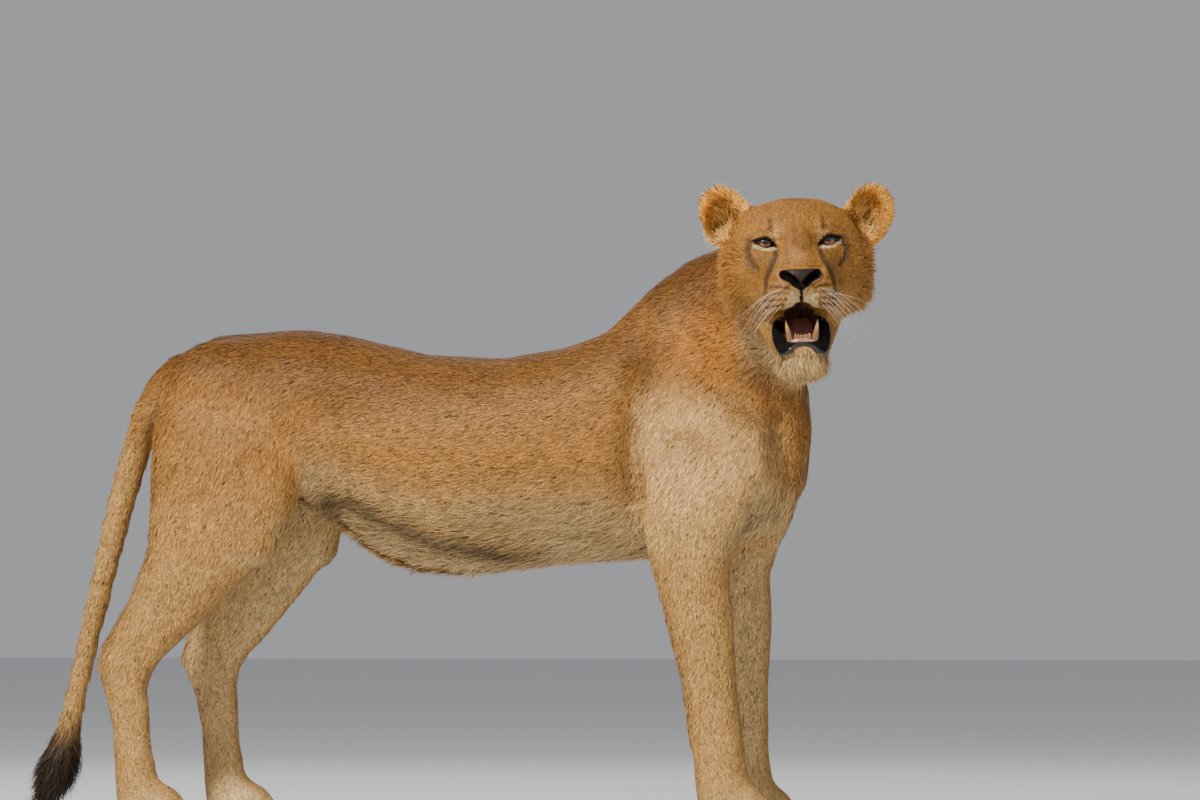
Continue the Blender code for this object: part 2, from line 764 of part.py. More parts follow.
def parted(whole):
    for saw in thin_cuts():
        cut(whole, saw)
    bpy.ops.object.select_all(action="DESELECT")
    whole.select_set(True)
    bpy.context.view_layer.objects.active = whole
    bpy.ops.mesh.separate(type="LOOSE")
    found = {}
    for obj in list(bpy.context.selected_objects):
        middle, volume = middle_and_volume(obj.data)
        name = min(PIECES, key=lambda n: (Vector(PIECES[n]) - middle).length)
        if volume < SLIVER:
            bpy.data.objects.remove(obj, do_unlink=True)
        elif name in found:
            raise ValueError(f"two pieces want the name {name}")
        else:
            found[name] = obj
    for name, obj in found.items():
        obj.name = name
        obj.data.name = name
    return found


# ---------------------------------------------------------------- eyes, ears, tongue and teeth
def eyeball(side):
    return mass("eye", eye_place(side), (EYE_RADIUS,) * 3, segments=14)


def ear(side):
    """A round cupped ear that leans outwards and opens forwards."""
    middle = Vector((side * 0.113 - 0.006, -0.088, 0.0255 + side * 0.0035))
    lean, swing = side * 33, -side * 14
    made = mass("ear", middle, (0.043, 0.027, 0.058), lean=lean, swing=swing, segments=14)
    front = Matrix.Rotation(math.radians(swing), 3, "Z") @ Vector((0, 0.0175, 0.006))
    hollow = mass("ear_hollow", middle + front, (0.0365, 0.0265, 0.0475), lean=lean, swing=swing, segments=14)
    return cut(made, hollow)


def tongue():
    rows = [
        (0, -0.020, -0.142, 0.010, 0.022),
        (0, 0.008, -0.155, 0.0105, 0.023),
        (0, 0.034, -0.164, 0.0095, 0.021),
        (0, 0.050, -0.170, 0.0075, 0.017),
        (0, 0.060, -0.174, 0.0040, 0.010),
    ]
    return path_loft("tongue", rows, count=9, side=Vector((1, 0, 0)), ring=12)


def lower_teeth():
    """Two canines and a row of small incisors on one ridge of gum."""
    pieces = [bar("gum", (-0.021, 0.077, -0.177), (0.021, 0.077, -0.177), 0.0075, 0.0075)]
    for side in (-1, 1):
        root = (side * 0.0190, 0.077, -0.174)
        bend = (side * 0.0235, 0.085, -0.155)
        tip = (side * 0.0258, 0.083, -0.1375)
        pieces += [bar("canine", root, bend, 0.0066, 0.0050), bar("tip", bend, tip, 0.0050, 0.0014)]
        for k in range(3):
            x = side * (0.0024 + 0.0048 * k)
            pieces.append(bar("incisor", (x, 0.081, -0.174), (x, 0.0845, -0.1630), 0.0024, 0.0022))
    return remeshed(fused("lower_teeth", pieces), 0.0009, 2)


FITTED = {"eye": eye_gloss, "ear": ear_coat, "tongue": tongue_flesh, "lower_teeth": ivory, "nose": nose_leather}


def named(obj, name):
    obj.name = name
    obj.data.name = name
    return obj


def fit_into(piece, *hosts, gap=GAP):
    """Makes room in each host for a piece, a gap wider all round."""
    room = inflated(piece, gap)
    for host in hosts:
        cut(host, room, keep_cutter=True)
    bpy.data.objects.remove(room, do_unlink=True)


def keep_largest(obj):
    """Drops the loose crumbs that a cut leaves."""
    work = bmesh.new()
    work.from_mesh(obj.data)
    left = set(work.verts)
    groups = []
    while left:
        front, group = [left.pop()], []
        while front:
            vert = front.pop()
            group.append(vert)
            for edge in vert.link_edges:
                other = edge.other_vert(vert)
                if other in left:
                    left.remove(other)
                    front.append(other)
        groups.append(group)
    groups.sort(key=len)
    for group in groups[:-1]:
        bmesh.ops.delete(work, geom=group, context="VERTS")
    work.to_mesh(obj.data)
    work.free()


def fit_small_pieces(found):
    head, low = found["head"], found["lower_jaw"]
    for side, word in ((1, "right"), (-1, "left")):  # the head's own x runs to its right
        eye, opening = placed([eyeball(side), eye_opening(side)], head_matrix())
        found["eye_" + word] = named(eye, "eye_" + word)
        fit_into(eye, head)
        cut(head, opening)
        lobe = placed([ear(side)], head_matrix())[0]
        found["ear_" + word] = named(lobe, "ear_" + word)
        room = inflated(head, GAP)
        cut(lobe, room)
    flat, teeth = placed([tongue(), lower_teeth()], head_matrix())
    fewer = teeth.modifiers.new("fewer", "DECIMATE")
    teeth.data.calc_loop_triangles()
    fewer.ratio = 380 / len(teeth.data.loop_triangles)
    apply_modifiers(teeth)
    found["tongue"] = named(flat, "tongue")
    found["lower_teeth"] = named(teeth, "lower_teeth")
    fit_into(flat, low, head)
    fit_into(teeth, low, gap=2 * GAP)
    for obj in found.values():
        keep_largest(obj)


def finish_of(name):
    for start, finish in FITTED.items():
        if name.startswith(start):
            return finish()
    if name.startswith("tail"):
        return tail_coat()
    if name == "lower_jaw":
        return pale_coat()
    return coat()


def stand_at_origin(objects):
    """Moves all so that the middle of their box under the feet is the origin."""
    points = np.array([v.co for obj in objects for v in obj.data.vertices])
    low, high = points.min(axis=0), points.max(axis=0)
    placed(objects, Matrix.Translation((-(low[0] + high[0]) / 2, -(low[1] + high[1]) / 2, -low[2])))


clear_scene()
pieces = parted(flesh())
fit_small_pieces(pieces)
for name, obj in pieces.items():
    obj.data.materials.clear()
    obj.data.materials.append(finish_of(name))
stand_at_origin(list(pieces.values()))
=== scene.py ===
"""The looks of a life-size lioness: one skin over all her flesh, a short coat in tufts that follow its lie,
eyes, lids, teeth, tongue and whiskers, on a plain floor in soft studio light.
"""

import math
from contextlib import contextmanager

import bmesh
import bpy
import numpy as np
from mathutils import Matrix, Vector
from mathutils.bvhtree import BVHTree


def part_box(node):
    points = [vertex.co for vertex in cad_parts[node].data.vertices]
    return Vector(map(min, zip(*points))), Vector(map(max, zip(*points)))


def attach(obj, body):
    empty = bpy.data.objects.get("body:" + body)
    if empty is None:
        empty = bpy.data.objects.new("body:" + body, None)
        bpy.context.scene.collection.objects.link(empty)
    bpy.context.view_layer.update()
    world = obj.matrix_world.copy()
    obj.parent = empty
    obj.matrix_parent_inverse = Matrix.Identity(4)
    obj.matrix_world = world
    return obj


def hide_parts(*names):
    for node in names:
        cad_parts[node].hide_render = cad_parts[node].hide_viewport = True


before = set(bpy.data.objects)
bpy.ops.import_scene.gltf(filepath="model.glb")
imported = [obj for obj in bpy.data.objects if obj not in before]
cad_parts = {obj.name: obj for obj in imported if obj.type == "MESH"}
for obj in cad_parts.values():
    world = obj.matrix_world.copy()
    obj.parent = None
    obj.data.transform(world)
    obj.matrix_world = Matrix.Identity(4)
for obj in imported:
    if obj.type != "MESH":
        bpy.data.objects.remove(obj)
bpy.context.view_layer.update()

DICE = np.random.default_rng(7)

# ---------------- sizes and places
HEAD_TURN = math.radians(-167.2)
HEAD_PITCH = math.radians(-1.0)
HEAD_ROLL = math.radians(2.5)
EYE_RADIUS = 0.0185
EYE_AHEAD = 0.013  # of the eyes' middles from the head's own origin
EYE_BELOW = 0.0129
BROW = (0.629, -0.247, 0.9835)  # the head's origin, from the floor under the withers' mid-line
SKIN_GRAIN = 0.0101  # edge of the skin's faces on the body
COAT_PIECE = 62000  # most tufts in one piece
SIDES = {1: "right", -1: "left"}  # the sign of the head's x on each side of the animal
IN_MOUTH = ("tongue", "lower_teeth")  # nodes that the skin doesn't take in
LID_ENDS = (-0.0135, 0.0165)  # of an eye's opening, outwards from the ball's middle
LID_STEPS = 40
LID_EDGE = {"upper": 0.0017, "lower": 0.001}  # thickness of the dark edges
LID_THICKNESS = 0.003
SOCKET_DEPTH = 0.006  # of the skin in an opening, under the ball's surface
BOWL_DEPTH = 0.032  # of the hollow in each ear
TUCK = 0.034  # how far the skin steps in under the flank and in front of the shoulder
TOE_SWELL = 0.0012
TOE_GROOVE = 0.0085
INSET_SHARE = 0.16  # of the hair's length, by which the skin lies in
SKIN_OVER_FLOOR = 0.0005
COAT_OVER_FLOOR = 0.0004
GAZE_UP = math.radians(5.0)
GAZE_OUT = math.radians(1.0)
TONGUE_GRAIN = 0.0022
WHISKER_RADIUS = 0.00021
UV_NAME = "OFBake"
VIEW_TURN = math.radians(12)  # of the camera, ahead of square to her side
VIEW_AHEAD = 0.2475  # of what it looks at, along her
VIEW_UP = 0.7227
VIEW_DISTANCE = 16
VIEW_HEIGHT = 0.45  # of the camera over the floor
LENS = 290.9


def middle_of(node):
    low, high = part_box(node)
    return (low + high) / 2


def head_frame():
    """Turns the head's own places (x to its right, y forward, z up) into the row's."""
    turn = Matrix.Rotation(HEAD_TURN, 3, "Z") @ Matrix.Rotation(HEAD_PITCH, 3, "X")
    turn = turn @ Matrix.Rotation(HEAD_ROLL, 3, "Y")
    eyes = (middle_of("eye_right") + middle_of("eye_left")) / 2
    origin = eyes - turn @ Vector((0, EYE_AHEAD, -EYE_BELOW))
    return np.array(turn), np.array(origin)


HEAD_AXES, HEAD_ORIGIN = head_frame()
MIDLINE = HEAD_ORIGIN - np.array(BROW)  # where the body's own places are counted from
EYE = np.array((0.0505, EYE_AHEAD, -EYE_BELOW))  # the right one, in the head's own places


def to_head(points):
    return (points - HEAD_ORIGIN) @ HEAD_AXES


def from_head(points):
    return np.asarray(points) @ HEAD_AXES.T + HEAD_ORIGIN


def to_body(points):
    return points - MIDLINE


def folded(local):
    """How far out, ahead and up each of the head's places is, both sides alike."""
    return np.abs(local[:, 0]), local[:, 1], local[:, 2]


def eye_middle(side):
    return EYE * (side, 1, 1)


# ---------------- small maths
def ramp(value, start, end):
    """0 before start, 1 past end, smooth between; start may be the larger."""
    t = np.clip((value - start) / (end - start), 0, 1)
    return t * t * (3 - 2 * t)


def blob(points, middle, radii):
    """1 in the middle of an ellipsoid, 0 outside it."""
    q = (((points - np.array(middle)) / np.array(radii)) ** 2).sum(axis=1)
    return np.clip(1 - q, 0, 1) ** 2


def fade(distance, width):
    """1 at no distance, falling softly to 0 over about two widths."""
    return np.exp(-(distance / width) ** 2)


def unit(vectors):
    return vectors / np.maximum(np.linalg.norm(vectors, axis=-1, keepdims=True), 1e-9)


def among(kinds, *names):
    """1 at the points of the named parts, 0 elsewhere."""
    return np.isin(kinds, names) * 1.0


def flat_distance(points, path):
    """The distance of each 2-D point from a path of 2-D points."""
    best = np.full(len(points), 9.0)
    for a, b in zip(path[:-1], path[1:]):
        a, b = np.array(a, float), np.array(b, float)
        along = np.clip(((points - a) @ (b - a)) / ((b - a) @ (b - a)), 0, 1)
        best = np.minimum(best, np.linalg.norm(points - a - along[:, None] * (b - a), axis=1))
    return best


# ---------------- mesh helpers
def deselect():
    if bpy.context.object and bpy.context.object.mode != "OBJECT":
        bpy.ops.object.mode_set(mode="OBJECT")
    bpy.ops.object.select_all(action="DESELECT")


def take_up(obj):
    deselect()
    obj.select_set(True)
    bpy.context.view_layer.objects.active = obj
    return obj


def numbers(items, field, width, kind=np.float32):
    """One field of many of Blender's items, as the rows of an array."""
    values = np.empty(len(items) * width, kind)
    items.foreach_get(field, values)
    return values.reshape(-1, width)


def set_numbers(items, field, values, kind=np.float32):
    items.foreach_set(field, np.ascontiguousarray(values, kind).ravel())


@contextmanager
def editing(obj):
    """Blender's mesh editor, with the whole of a piece chosen."""
    take_up(obj)
    bpy.ops.object.mode_set(mode="EDIT")
    bpy.ops.mesh.select_all(action="SELECT")
    yield
    bpy.ops.object.mode_set(mode="OBJECT")


def smooth(obj):
    take_up(obj)
    bpy.ops.object.shade_smooth()
    return obj


def points_of(obj):
    return numbers(obj.data.vertices, "co", 3).astype(float)


def put_points(obj, points):
    set_numbers(obj.data.vertices, "co", points)
    obj.data.update()


def normals_of(obj):
    return numbers(obj.data.vertex_normals, "vector", 3).astype(float)


def triangles_of(obj):
    obj.data.calc_loop_triangles()
    return numbers(obj.data.loop_triangles, "vertices", 3, np.int32)


def stacked(shapes):
    """The points and faces of several shapes, as those of one."""
    points, faces, count = [], [], 0
    for shape in shapes:
        points.append(shape[0])
        faces.append(shape[1] + count)
        count += len(shape[0])
    return np.vstack(points), np.vstack(faces)


def new_piece(name, points, faces):
    """A mesh object from arrays of points and of faces that all have the same number of corners."""
    mesh = bpy.data.meshes.new(name)
    mesh.vertices.add(len(points))
    set_numbers(mesh.vertices, "co", points)
    mesh.loops.add(faces.size)
    set_numbers(mesh.loops, "vertex_index", faces, np.int32)
    mesh.polygons.add(len(faces))
    set_numbers(mesh.polygons, "loop_start", np.arange(0, faces.size, faces.shape[1]), np.int32)
    mesh.update(calc_edges=True)
    obj = bpy.data.objects.new(name, mesh)
    bpy.context.scene.collection.objects.link(obj)
    return obj


def give(obj, name, values, kind="FLOAT"):
    """A value for each point of a piece, which its material can read."""
    field = {"FLOAT": "value", "FLOAT_VECTOR": "vector"}[kind]
    set_numbers(obj.data.attributes.new(name, kind, "POINT").data, field, values)


class Neighbours:
    """The points joined to each point by an edge, for smoothing."""

    def __init__(self, obj):
        ends = numbers(obj.data.edges, "vertices", 2, np.int32)
        both = np.vstack([ends, ends[:, ::-1]])
        both = both[np.argsort(both[:, 0], kind="stable")]
        self.others = both[:, 1]
        self.starts = np.searchsorted(both[:, 0], np.arange(len(obj.data.vertices)))
        self.count = np.diff(np.append(self.starts, len(both)))[:, None].astype(np.float32)

    def mean(self, values):
        return np.add.reduceat(values[self.others], self.starts, axis=0) / self.count

    def relax(self, points, rounds, share=0.5, weight=1.0):
        for _ in range(rounds):
            points = points + weight * share * (self.mean(points) - points)
        return points

    def relax_keeping_size(self, points, rounds, weight=1.0):
        """Smooths without shrinking, by a step inwards and a longer one back."""
        for _ in range(rounds):
            points = points + weight * 0.5 * (self.mean(points) - points)
            points = points - weight * 0.52 * (self.mean(points) - points)
        return points


# ---------------- the skin's rough shape
def solid_lobe(points):
    """The ear without its hollow, which is pressed in again later on a finer mesh."""
    work = bmesh.new()
    for point in points:
        work.verts.new(point)
    bmesh.ops.convex_hull(work, input=work.verts)
    bmesh.ops.delete(work, geom=[v for v in work.verts if not v.link_faces], context="VERTS")
    bmesh.ops.triangulate(work, faces=work.faces)
    work.verts.index_update()
    shape = np.array([v.co[:] for v in work.verts]), np.array([[v.index for v in f.verts] for f in work.faces])
    work.free()
    return shape


def flesh_shapes():
    """The points and faces of each node that the skin takes in, by name."""
    return {name: (points_of(node), triangles_of(node)) for name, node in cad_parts.items()
            if name not in IN_MOUTH}


def joined_flesh():
    """All the flesh in one object, with the eyes in their sockets so that these close."""
    shapes = [solid_lobe(shape[0]) if name.startswith("ear") else shape for name, shape in flesh_shapes().items()]
    return new_piece("skin", *stacked(shapes))


def remesh(obj, grain):
    take_up(obj)
    voxels = obj.modifiers.new("voxels", "REMESH")
    voxels.mode = "VOXEL"
    voxels.voxel_size = grain
    bpy.ops.object.modifier_apply(modifier=voxels.name)


def keep_largest(obj):
    """Drops the small bubbles that the remesh leaves inside."""
    with editing(obj):
        bpy.ops.mesh.separate(type="LOOSE")
    pieces = sorted(bpy.context.selected_objects, key=lambda piece: len(piece.data.vertices))
    for piece in pieces[:-1]:
        bpy.data.objects.remove(piece)
    return take_up(pieces[-1])


def refine(obj, chosen):
    """Splits the faces whose middles are chosen, each into four."""
    take_up(obj)
    bpy.ops.object.mode_set(mode="EDIT")
    bpy.ops.mesh.select_mode(type="FACE")
    bpy.ops.mesh.select_all(action="DESELECT")
    bpy.ops.object.mode_set(mode="OBJECT")
    polygons = obj.data.polygons
    middles = numbers(polygons, "center", 3).astype(float)
    set_numbers(polygons, "select", chosen(middles) > 0, bool)
    bpy.ops.object.mode_set(mode="EDIT")
    bpy.ops.mesh.subdivide(number_cuts=1, ngon=False)
    bpy.ops.object.mode_set(mode="OBJECT")


def on_head(points):
    """1 on the head, 0 on the body."""
    local = to_head(points)
    return ramp(local[:, 1], -0.15, -0.11) * ramp(np.linalg.norm(local, axis=1), 0.32, 0.28)


def on_paws(points):
    return ramp(points[:, 2], 0.13, 0.09)


# boxes of the head's places, both sides alike, where the skin is made finer: lowest and highest corner
FACE_AND_EARS = (((-1, -0.02, -1), (0.1, 1, 0.035)), ((0.08, -0.15, -0.04), (1, 1, 1)))
FACE = (((-1, 0.005, -0.215), (0.08, 1, 0.022)),)
FEATURES = (
    ((0.028, 0.004, -0.03), (0.078, 1, 0.004)),  # the eyes
    ((-1, 0.07, -0.114), (0.04, 1, -0.052)),  # the nose
    ((-1, 0.045, -0.199), (0.053, 1, -0.104)),  # the lips
)


def in_boxes(points, boxes):
    places = np.stack(folded(to_head(points)), axis=1)
    inside = [((places > low) & (places < high)).all(axis=1) for low, high in boxes]
    return np.any(inside, axis=0) & (on_head(points) > 0)


def ends_of_limbs(points):
    """The face's front, the ears and the paws, where the skin is finer."""
    return in_boxes(points, FACE_AND_EARS) | (points[:, 2] < 0.085)


def on_face(points):
    return in_boxes(points, FACE)


def on_features(points):
    """The eyes, the nose and the lips, where it is finest."""
    return in_boxes(points, FEATURES)


# ---------------- the head, sculpted on the fine skin
LIDS = {  # edge of each lid in the right eye's own places: out from the nose, up
    "upper": ((-0.0135, -0.0045), (-0.0085, 0.001), (-0.001, 0.0036), (0.006, 0.0038), (0.012, 0.0025),
              (0.0165, 0.0)),
    "lower": ((-0.0135, -0.0045), (-0.0085, -0.0056), (-0.001, -0.006), (0.006, -0.0048), (0.012, -0.002),
              (0.0165, 0.0)),
}
EYE_BLACK = ((-0.0185, -0.0055), (-0.012, 0.005), (-0.003, 0.0115), (0.005, 0.0125), (0.014, 0.0095),
             (0.023, 0.006), (0.015, -0.0015), (0.008, -0.005), (-0.001, -0.0068), (-0.01, -0.0066))
MOUTH = ((0.0, -0.11), (0.014, -0.1195), (0.027, -0.1285), (0.036, -0.1345), (0.0425, -0.14), (0.0465, -0.15),
         (0.0475, -0.166), (0.0425, -0.184), (0.035, -0.195), (0.023, -0.191), (0.018, -0.186), (0.011, -0.1815),
         (0.0, -0.1795))  # its black edge, seen from the front: out from the middle, up
NOSTRIL = ((0.0085, -0.0795), (0.014, -0.0735), (0.0205, -0.0695), (0.027, -0.0655))
NOSE_EDGE = ((0.0, -0.0565), (0.02, -0.056), (0.033, -0.058), (0.0355, -0.0645), (0.0315, -0.0735),
             (0.016, -0.081), (0.007, -0.0885), (0.0, -0.0945))
TEAR_LINE = ((0.034, -0.019), (0.036, -0.035), (0.044, -0.052), (0.052, -0.07), (0.0555, -0.092))
CHEEK_LINE = ((0.0735, -0.008), (0.0775, -0.026), (0.074, -0.044), (0.066, -0.053))

# swells and dents of the head: middle, radii, push outwards; one off the middle is made on both sides
HEAD_FORMS = (
    ((0.05, 0.045, 0.012), (0.036, 0.05, 0.014), 0.0035),  # the brow over each eye
    ((0.086, 0.01, -0.062), (0.03, 0.06, 0.03), 0.004),  # the cheek bone
    ((0.03, 0.095, -0.112), (0.026, 0.04, 0.026), 0.004),  # the whisker pad
    ((0.028, 0.085, -0.186), (0.024, 0.05, 0.02), 0.0025),  # the chin
    ((0.026, 0.06, -0.024), (0.01, 0.05, 0.022), -0.004),  # beside the bridge, in front of the eye
    ((0.052, 0.06, -0.072), (0.016, 0.05, 0.024), -0.003),
    ((0.0, 0.06, 0.014), (0.008, 0.06, 0.045), -0.002),  # the furrow up the forehead
    ((0.06, 0.07, -0.15), (0.01, 0.05, 0.016), -0.003),
)
EAR_BOWL = ((0.117, -0.05, 0.026), (0.027, 0.06, 0.038))


def from_middle(local):
    """Places folded onto the animal's right and seen from the front."""
    return np.stack([np.abs(local[:, 0]), local[:, 2]], axis=1)


def inside_shape(flat, corners, edge=None):
    """How far inside a closed outline each place is, and negative outside."""
    corners = list(corners)
    x, y = flat[:, 0], flat[:, 1]
    inside = np.zeros(len(flat), bool)
    for (x0, y0), (x1, y1) in zip(corners, corners[1:] + corners[:1]):
        crosses = (y0 > y) != (y1 > y)
        inside ^= crosses & (x < (x1 - x0) * (y - y0) / (y1 - y0 if y1 != y0 else 1e-9) + x0)
    return np.where(inside, 1, -1) * flat_distance(flat, edge or corners + corners[:1])


def inside_outline(flat, half):
    """The same for an outline that both sides of the head share, given for one side."""
    half = list(half)
    return inside_shape(flat, half + [(-a, b) for a, b in reversed(half[1:-1])], half)


def lid_height(name, out):
    across, high = zip(*LIDS[name])
    return np.interp(out, across, high)


def eye_opening(local, side):
    """How far inside one eye's opening a place is, and negative outside."""
    out = local[:, 0] * side - EYE[0]
    up = local[:, 2] - EYE[2]
    return np.minimum.reduce([lid_height("upper", out) - up, up - lid_height("lower", out), out - LID_ENDS[0],
                              LID_ENDS[1] - out])


def both_openings(local):
    return np.maximum(eye_opening(local, 1), eye_opening(local, -1))


def in_eye_black(local):
    """How far inside the black round an eye each place is, and negative outside."""
    return inside_shape(from_middle(local) - EYE[[0, 2]], EYE_BLACK)


def seat_eyes(local):
    """The lids lie on the balls, and inside the opening the skin dips behind them."""
    for side in SIDES:
        centre = eye_middle(side)
        ray = local - centre
        reach = np.linalg.norm(ray, axis=1)
        near = (reach < 0.045) & (ray[:, 1] > -0.004) & (on_head(from_head(local)) > 0)
        depth = eye_opening(local, side)
        lid = EYE_RADIUS + LID_THICKNESS + 0.06 * np.clip(-depth, 0, 0.02)
        upper = ramp(ray[:, 2] - lid_height("upper", local[:, 0] * side - EYE[0]), -0.002, 0.002)
        lid = lid + upper * 0.0016 * fade(depth + 0.003, 0.004)
        wanted = np.where(depth > 0, EYE_RADIUS - SOCKET_DEPTH, lid)
        hold = ramp(-depth, 0.014, 0.005) * near
        hold = hold * ramp(ray[:, 1], -0.004, 0.004)
        hold = np.where(wanted > reach, np.maximum(hold, near * ramp(reach, 0.028, 0.024)), hold)
        local = centre + ray / np.maximum(reach, 1e-6)[:, None] * (reach + hold * (wanted - reach))[:, None]
    return local


def pushed(places, forms, sides=(1,)):
    """How far each place is moved out by swells and in by dents."""
    push = np.zeros(len(places))
    for (x, y, z), radii, amount in forms:
        for side in sides if x else (1,):
            push += amount * blob(places, (side * x, y, z), radii)
    return push


def head_push(local, normals):
    """How far the head's skin is pushed along its normals."""
    push = pushed(local, HEAD_FORMS, SIDES)
    flat, ahead = from_middle(local), local[:, 1]
    tear = flat_distance(flat, TEAR_LINE)
    faces_front = ramp(normals[:, 1], 0.0, 0.35) * (ahead > 0.02)
    push -= 0.003 * fade(tear, 0.003) * faces_front
    push += 0.0016 * fade(tear - 0.007, 0.004) * faces_front
    push -= 0.0022 * fade(flat_distance(flat, CHEEK_LINE), 0.0028) * (ahead > -0.02)
    nose = inside_outline(flat, NOSE_EDGE)
    push += 0.0022 * ramp(nose, -0.0012, 0.002) * (ahead > 0.06)
    push -= 0.0018 * fade(nose + 0.0022, 0.0016) * (ahead > 0.06)
    bent = np.where(flat[:, 0] < 0.0155, 0.004, 0.0052)
    push -= 0.01 * ramp(flat_distance(flat, NOSTRIL), bent + 0.0012, 0.003) * (ahead > 0.07)
    push -= 0.003 * fade(flat_distance(flat, ((0.0, -0.081), (0.0, -0.111))), 0.0015) * (ahead > 0.07)
    lip = fade(inside_outline(flat, MOUTH) - 0.0015, 0.003) * (ahead > 0.03)
    return push + 0.0014 * lip


def press_bowls(points):
    """The hollow of each ear, pressed in from the front."""
    local = to_head(points)
    middle, radii = EAR_BOWL
    for side in SIDES:
        q = (local - np.array(middle) * (side, 1, 1)) / np.array(radii)
        depth = np.clip(1 - (q[:, 0] ** 2 + q[:, 2] ** 2), 0, 1)
        front = (local[:, 1] > -0.135) & (on_head(points) > 0)
        local[:, 1] -= BOWL_DEPTH * depth ** 0.8 * front * ramp(local[:, 1], -0.108, -0.088)
    return from_head(local)


# ---------------- the body's folds
# swells and dents in the body's own places, as those of the head
BODY_FORMS = (
    ((0.5, -0.11, 0.64), (0.075, 0.08, 0.09), 0.006),  # near shoulder's point
    ((0.47, -0.12, 0.8), (0.06, 0.08, 0.08), 0.004),  # near blade
    ((-0.15, -0.1, 0.705), (0.12, 0.09, 0.06), -0.009),  # near flank's hollow
    ((0.06, -0.1, 0.64), (0.23, 0.08, 0.11), 0.0035),  # near ribs
    ((0.5, 0.11, 0.64), (0.075, 0.08, 0.09), 0.006),
    ((-0.15, 0.13, 0.705), (0.12, 0.09, 0.06), -0.009),
)
FLANK_FOLD = ((-0.2, 0.562), (-0.176, 0.571), (-0.147, 0.568), (-0.097, 0.543), (-0.046, 0.52), (0.021, 0.499),
              (0.139, 0.482), (0.274, 0.476))  # the edge of each flank over the belly, from the side: ahead, up
SHOULDER_BACK = ((0.35, 0.83), (0.341, 0.723), (0.338, 0.64), (0.342, 0.558))
SHOULDER_FRONT = ((0.508, 0.531), (0.545, 0.553), (0.559, 0.59), (0.546, 0.648), (0.544, 0.706), (0.534, 0.764),
                  (0.508, 0.838), (0.469, 0.945))


def under_fold(places):
    """How far each place lies under the edge of the flank."""
    ahead, up = zip(*FLANK_FOLD)
    return np.interp(places[:, 0], ahead, up) - places[:, 2]


def before_shoulder(places):
    """How far each place lies in front of the shoulder's edge."""
    ahead, up = zip(*SHOULDER_FRONT)
    return places[:, 0] - np.interp(places[:, 2], up, ahead)


def body_forms(points, normals):
    """The points with the body's swells, hollows and folds of skin."""
    places = to_body(points)
    ahead, aside, up = places.T
    push = pushed(places, BODY_FORMS)
    side = np.abs(normals[:, 1])
    crease = flat_distance(places[:, [0, 2]], SHOULDER_BACK)
    low = ramp(up, 0.86, 0.66)
    push -= (0.005 + 0.011 * low) * fade(crease, 0.016) * ramp(side, 0.3, 0.7)
    push += 0.006 * fade(crease - 0.036, 0.022) * (ahead > 0.345) * ramp(side, 0.3, 0.7)
    points = points + normals * push[:, None]
    along = ramp(ahead, -0.195, -0.165) * ramp(ahead, 0.2, -0.02)
    tuck = TUCK * ramp(under_fold(places), 0.0, 0.016) * along * ramp(side, 0.05, 0.5)
    near = ramp(np.abs(aside), 0.015, 0.12)
    chest = TUCK * ramp(before_shoulder(places), -0.004, 0.026) * ramp(up, 0.5, 0.6) * ramp(up, 0.93, 0.8)
    tuck += chest * near
    points[:, 1] += tuck * -np.sign(aside)
    return points


# ---------------- the toes
# the width of each foot against a forepaw's, and where the gaps between the toes lie across it
PAWS = {"forepaw_right": 1.0, "forepaw_left": 1.0, "hind_foot_right": 0.92, "hind_foot_left": 0.92}
TOE_GAPS = (-0.0255, 0.0, 0.0255)


def on_toes(points):
    """1 on the front of each foot, where the toes are."""
    found = np.zeros(len(points))
    for name in PAWS:
        low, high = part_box(name)
        inside = (points[:, 0] > high.x - 0.075) & (points[:, 0] < high.x + 0.01) & (points[:, 2] < 0.062)
        inside &= (points[:, 1] > low.y - 0.01) & (points[:, 1] < high.y + 0.01)
        found = np.where(inside, 1.0, found)
    return found


def toe_gap(points):
    """How deep each place lies in a gap between two toes, from 0 to 1, and how far out on a toe it is."""
    gap, toe = np.zeros(len(points)), np.zeros(len(points))
    for name, size in PAWS.items():
        low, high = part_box(name)
        back = high.x - points[:, 0]
        aside = points[:, 1] - (low.y + high.y) / 2
        along = ramp(back, 0.07, 0.03) * ramp(points[:, 2], 0.064, 0.046) * ramp(points[:, 2], 0.001, 0.007)
        along = along * (np.abs(aside) < 0.062) * (back > -0.02)
        off = np.min([np.abs(aside - middle * size) for middle in TOE_GAPS], axis=0)
        gap = np.maximum(gap, along * fade(off, 0.0042))
        toe = np.maximum(toe, along * ramp(off, 0.004, 0.012))
    return gap, toe


# ---------------- making the skin
def nearest_part(points):
    """The CAD node that each place belongs to, as a number into a list of names."""
    shapes = flesh_shapes()
    verts, faces = stacked(shapes.values())
    tree = BVHTree.FromPolygons(verts.tolist(), faces.tolist())
    owner = np.repeat(np.arange(len(shapes)), [len(shape[1]) for shape in shapes.values()])
    return list(shapes), owner[[tree.find_nearest(point)[2] for point in points.tolist()]]


